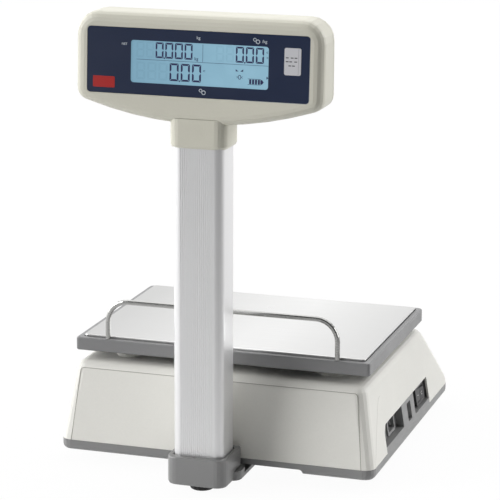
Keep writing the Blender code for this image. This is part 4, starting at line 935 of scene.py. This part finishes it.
def screw_recesses():
    """Painted shade: dark crosses for the shaded recesses in the heads of the screws at the back of the
    display.
    """
    shadow = ink_and_painted_light("recess", linear(22, 22, 22), 0.7)
    length, width = SCREW_CROSS
    for i in range(1, 5):
        low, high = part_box(f"head_screw_{i}")
        x, z = (low.x + high.x) / 2, (low.z + high.z) / 2
        level = bar((x - length / 2, z), (x + length / 2, z), width)
        upright = bar((x, z - length / 2), (x, z + length / 2), width)
        rise = sunk(CROSS_RISE, BACK_Y - high.y)
        mesh = raised(f"head_recess_{i}", [level, upright], on_back, rise)
        piece(f"head_recess_{i}", mesh, "scale_body", shadow)


# ---------------------------------------------------------------- stage


def camera():
    """The camera, aimed by its heading and pitch, and then rolled a little."""
    flat_ahead = Vector((-math.sin(CAMERA_HEADING), math.cos(CAMERA_HEADING), 0.0))
    ahead = math.cos(CAMERA_PITCH) * flat_ahead - Vector((0.0, 0.0, math.sin(CAMERA_PITCH)))
    right = Vector((math.cos(CAMERA_HEADING), math.sin(CAMERA_HEADING), 0.0))
    above = right.cross(ahead)
    turned_right = math.cos(CAMERA_ROLL) * right + math.sin(CAMERA_ROLL) * above
    turned_up = math.cos(CAMERA_ROLL) * above - math.sin(CAMERA_ROLL) * right
    data = bpy.data.cameras.new("camera")
    data.lens = CAMERA_LENS
    data.clip_end = 100.0
    obj = bpy.data.objects.new("camera", data)
    bpy.context.scene.collection.objects.link(obj)
    turn = Matrix((turned_right, turned_up, -ahead)).transposed()
    obj.matrix_world = Matrix.Translation(CAMERA_PLACE) @ turn.to_4x4()
    bpy.context.scene.camera = obj


def floor():
    edit = bmesh.new()
    bmesh.ops.create_circle(edit, cap_ends=True, segments=64, radius=40.0)
    mesh = bpy.data.meshes.new("floor")
    edit.to_mesh(mesh)
    edit.free()
    mesh.materials.append(floor_paint())
    obj = bpy.data.objects.new("floor", mesh)
    obj.location.z = -0.0002
    bpy.context.scene.collection.objects.link(obj)


def floor_paint():
    """A white sweep, whose light on the scale fades with distance and towards the right."""
    paint = bpy.data.materials.new("floor")
    paint.use_nodes = True
    tree = paint.node_tree
    tree.nodes.remove(tree.nodes["Principled BSDF"])
    rays = add(tree, "LightPath").outputs
    place = add(tree, "TexCoord").outputs["Object"]
    away = add(tree, "VectorMath", {0: place}, operation="LENGTH").outputs["Value"]
    fade = spread(tree, away, 0.0, 1.0, FLOOR_FADE)
    bounce = add(tree, "BsdfDiffuse", {"Color": blended(tree, fade, grey_level(0.90), grey_level(0.22))})
    shade = add(tree, "BsdfDiffuse", {"Color": grey_level(0.95)})
    glow = add(tree, "Emission", {"Color": WHITE, "Strength": 1.0})
    seen = mixed_shaders(tree, 0.96, shade.outputs["BSDF"], glow.outputs["Emission"])
    facing = {0: place, 1: BRIGHT_SIDE}
    aside = add(tree, "VectorMath", facing, operation="DOT_PRODUCT").outputs["Value"]
    level = spread(tree, aside, 0.40, 1.25, (-1.2, 0.9))
    mirrored = add(tree, "Emission", {"Color": WHITE, "Strength": level}).outputs["Emission"]
    lit = mixed_shaders(tree, rays["Is Glossy Ray"], bounce.outputs["BSDF"], mirrored)
    final = mixed_shaders(tree, rays["Is Camera Ray"], lit, seen)
    tree.links.new(final, tree.nodes["Material Output"].inputs["Surface"])
    return paint


def grey_level(value):
    return (value, value, value, 1.0)


def mixed_shaders(tree, factor, first, second):
    mix = add(tree, "MixShader", {"Fac": factor})
    tree.links.new(first, mix.inputs[1])
    tree.links.new(second, mix.inputs[2])
    return mix.outputs["Shader"]


def sunlight(name, source, angle, power):
    """A soft light without fall-off, from a direction."""
    data = bpy.data.lights.new(name, "SUN")
    data.energy = power
    data.angle = math.radians(angle)
    obj = bpy.data.objects.new(name, data)
    bpy.context.scene.collection.objects.link(obj)
    obj.rotation_euler = Vector(source).to_track_quat("Z", "Y").to_euler()


def lights():
    """Four soft lights, each named for where it stands as the customer sees the scale."""
    sunlight("left_key", (-0.82, -0.58, 0.40), 40, 2.4)
    sunlight("left_rim", (-0.92, 0.28, 0.12), 50, 1.7)
    sunlight("right_rim", (0.80, 0.55, 0.28), 50, 1.9)
    sunlight("overhead", (0.05, 0.45, 1.0), 70, 1.0)


def surroundings():
    """White studio walls, bright behind the scale and dark in front of it."""
    world = bpy.data.worlds.new("studio")
    bpy.context.scene.world = world
    world.use_nodes = True
    tree = world.node_tree
    facing = {0: add(tree, "TexCoord").outputs["Generated"], 1: BACKDROP_SIDE}
    behind = add(tree, "VectorMath", facing, operation="DOT_PRODUCT").outputs["Value"]
    level = spread(tree, behind, 0.07, 1.15, (-0.3, 0.95))
    diffuse = add(tree, "LightPath").outputs["Is Diffuse Ray"]
    share = spread(tree, diffuse, 1.0, 0.75, (0.0, 1.0))
    strength = add(tree, "Math", {0: level, 1: share}, operation="MULTIPLY").outputs["Value"]
    shader = tree.nodes["Background"]
    shader.inputs["Color"].default_value = WHITE
    tree.links.new(strength, shader.inputs["Strength"])
    bpy.context.scene.view_settings.view_transform = "Standard"


# ---------------------------------------------------------------- all of it


def main():
    paint_cad()
    customer_display()
    overlay_prints()
    operator_side()
    rocker_marks()
    column()
    port_contacts()
    side_seam()
    panel_seam()
    screw_recesses()
    camera()
    floor()
    lights()
    surroundings()


main()
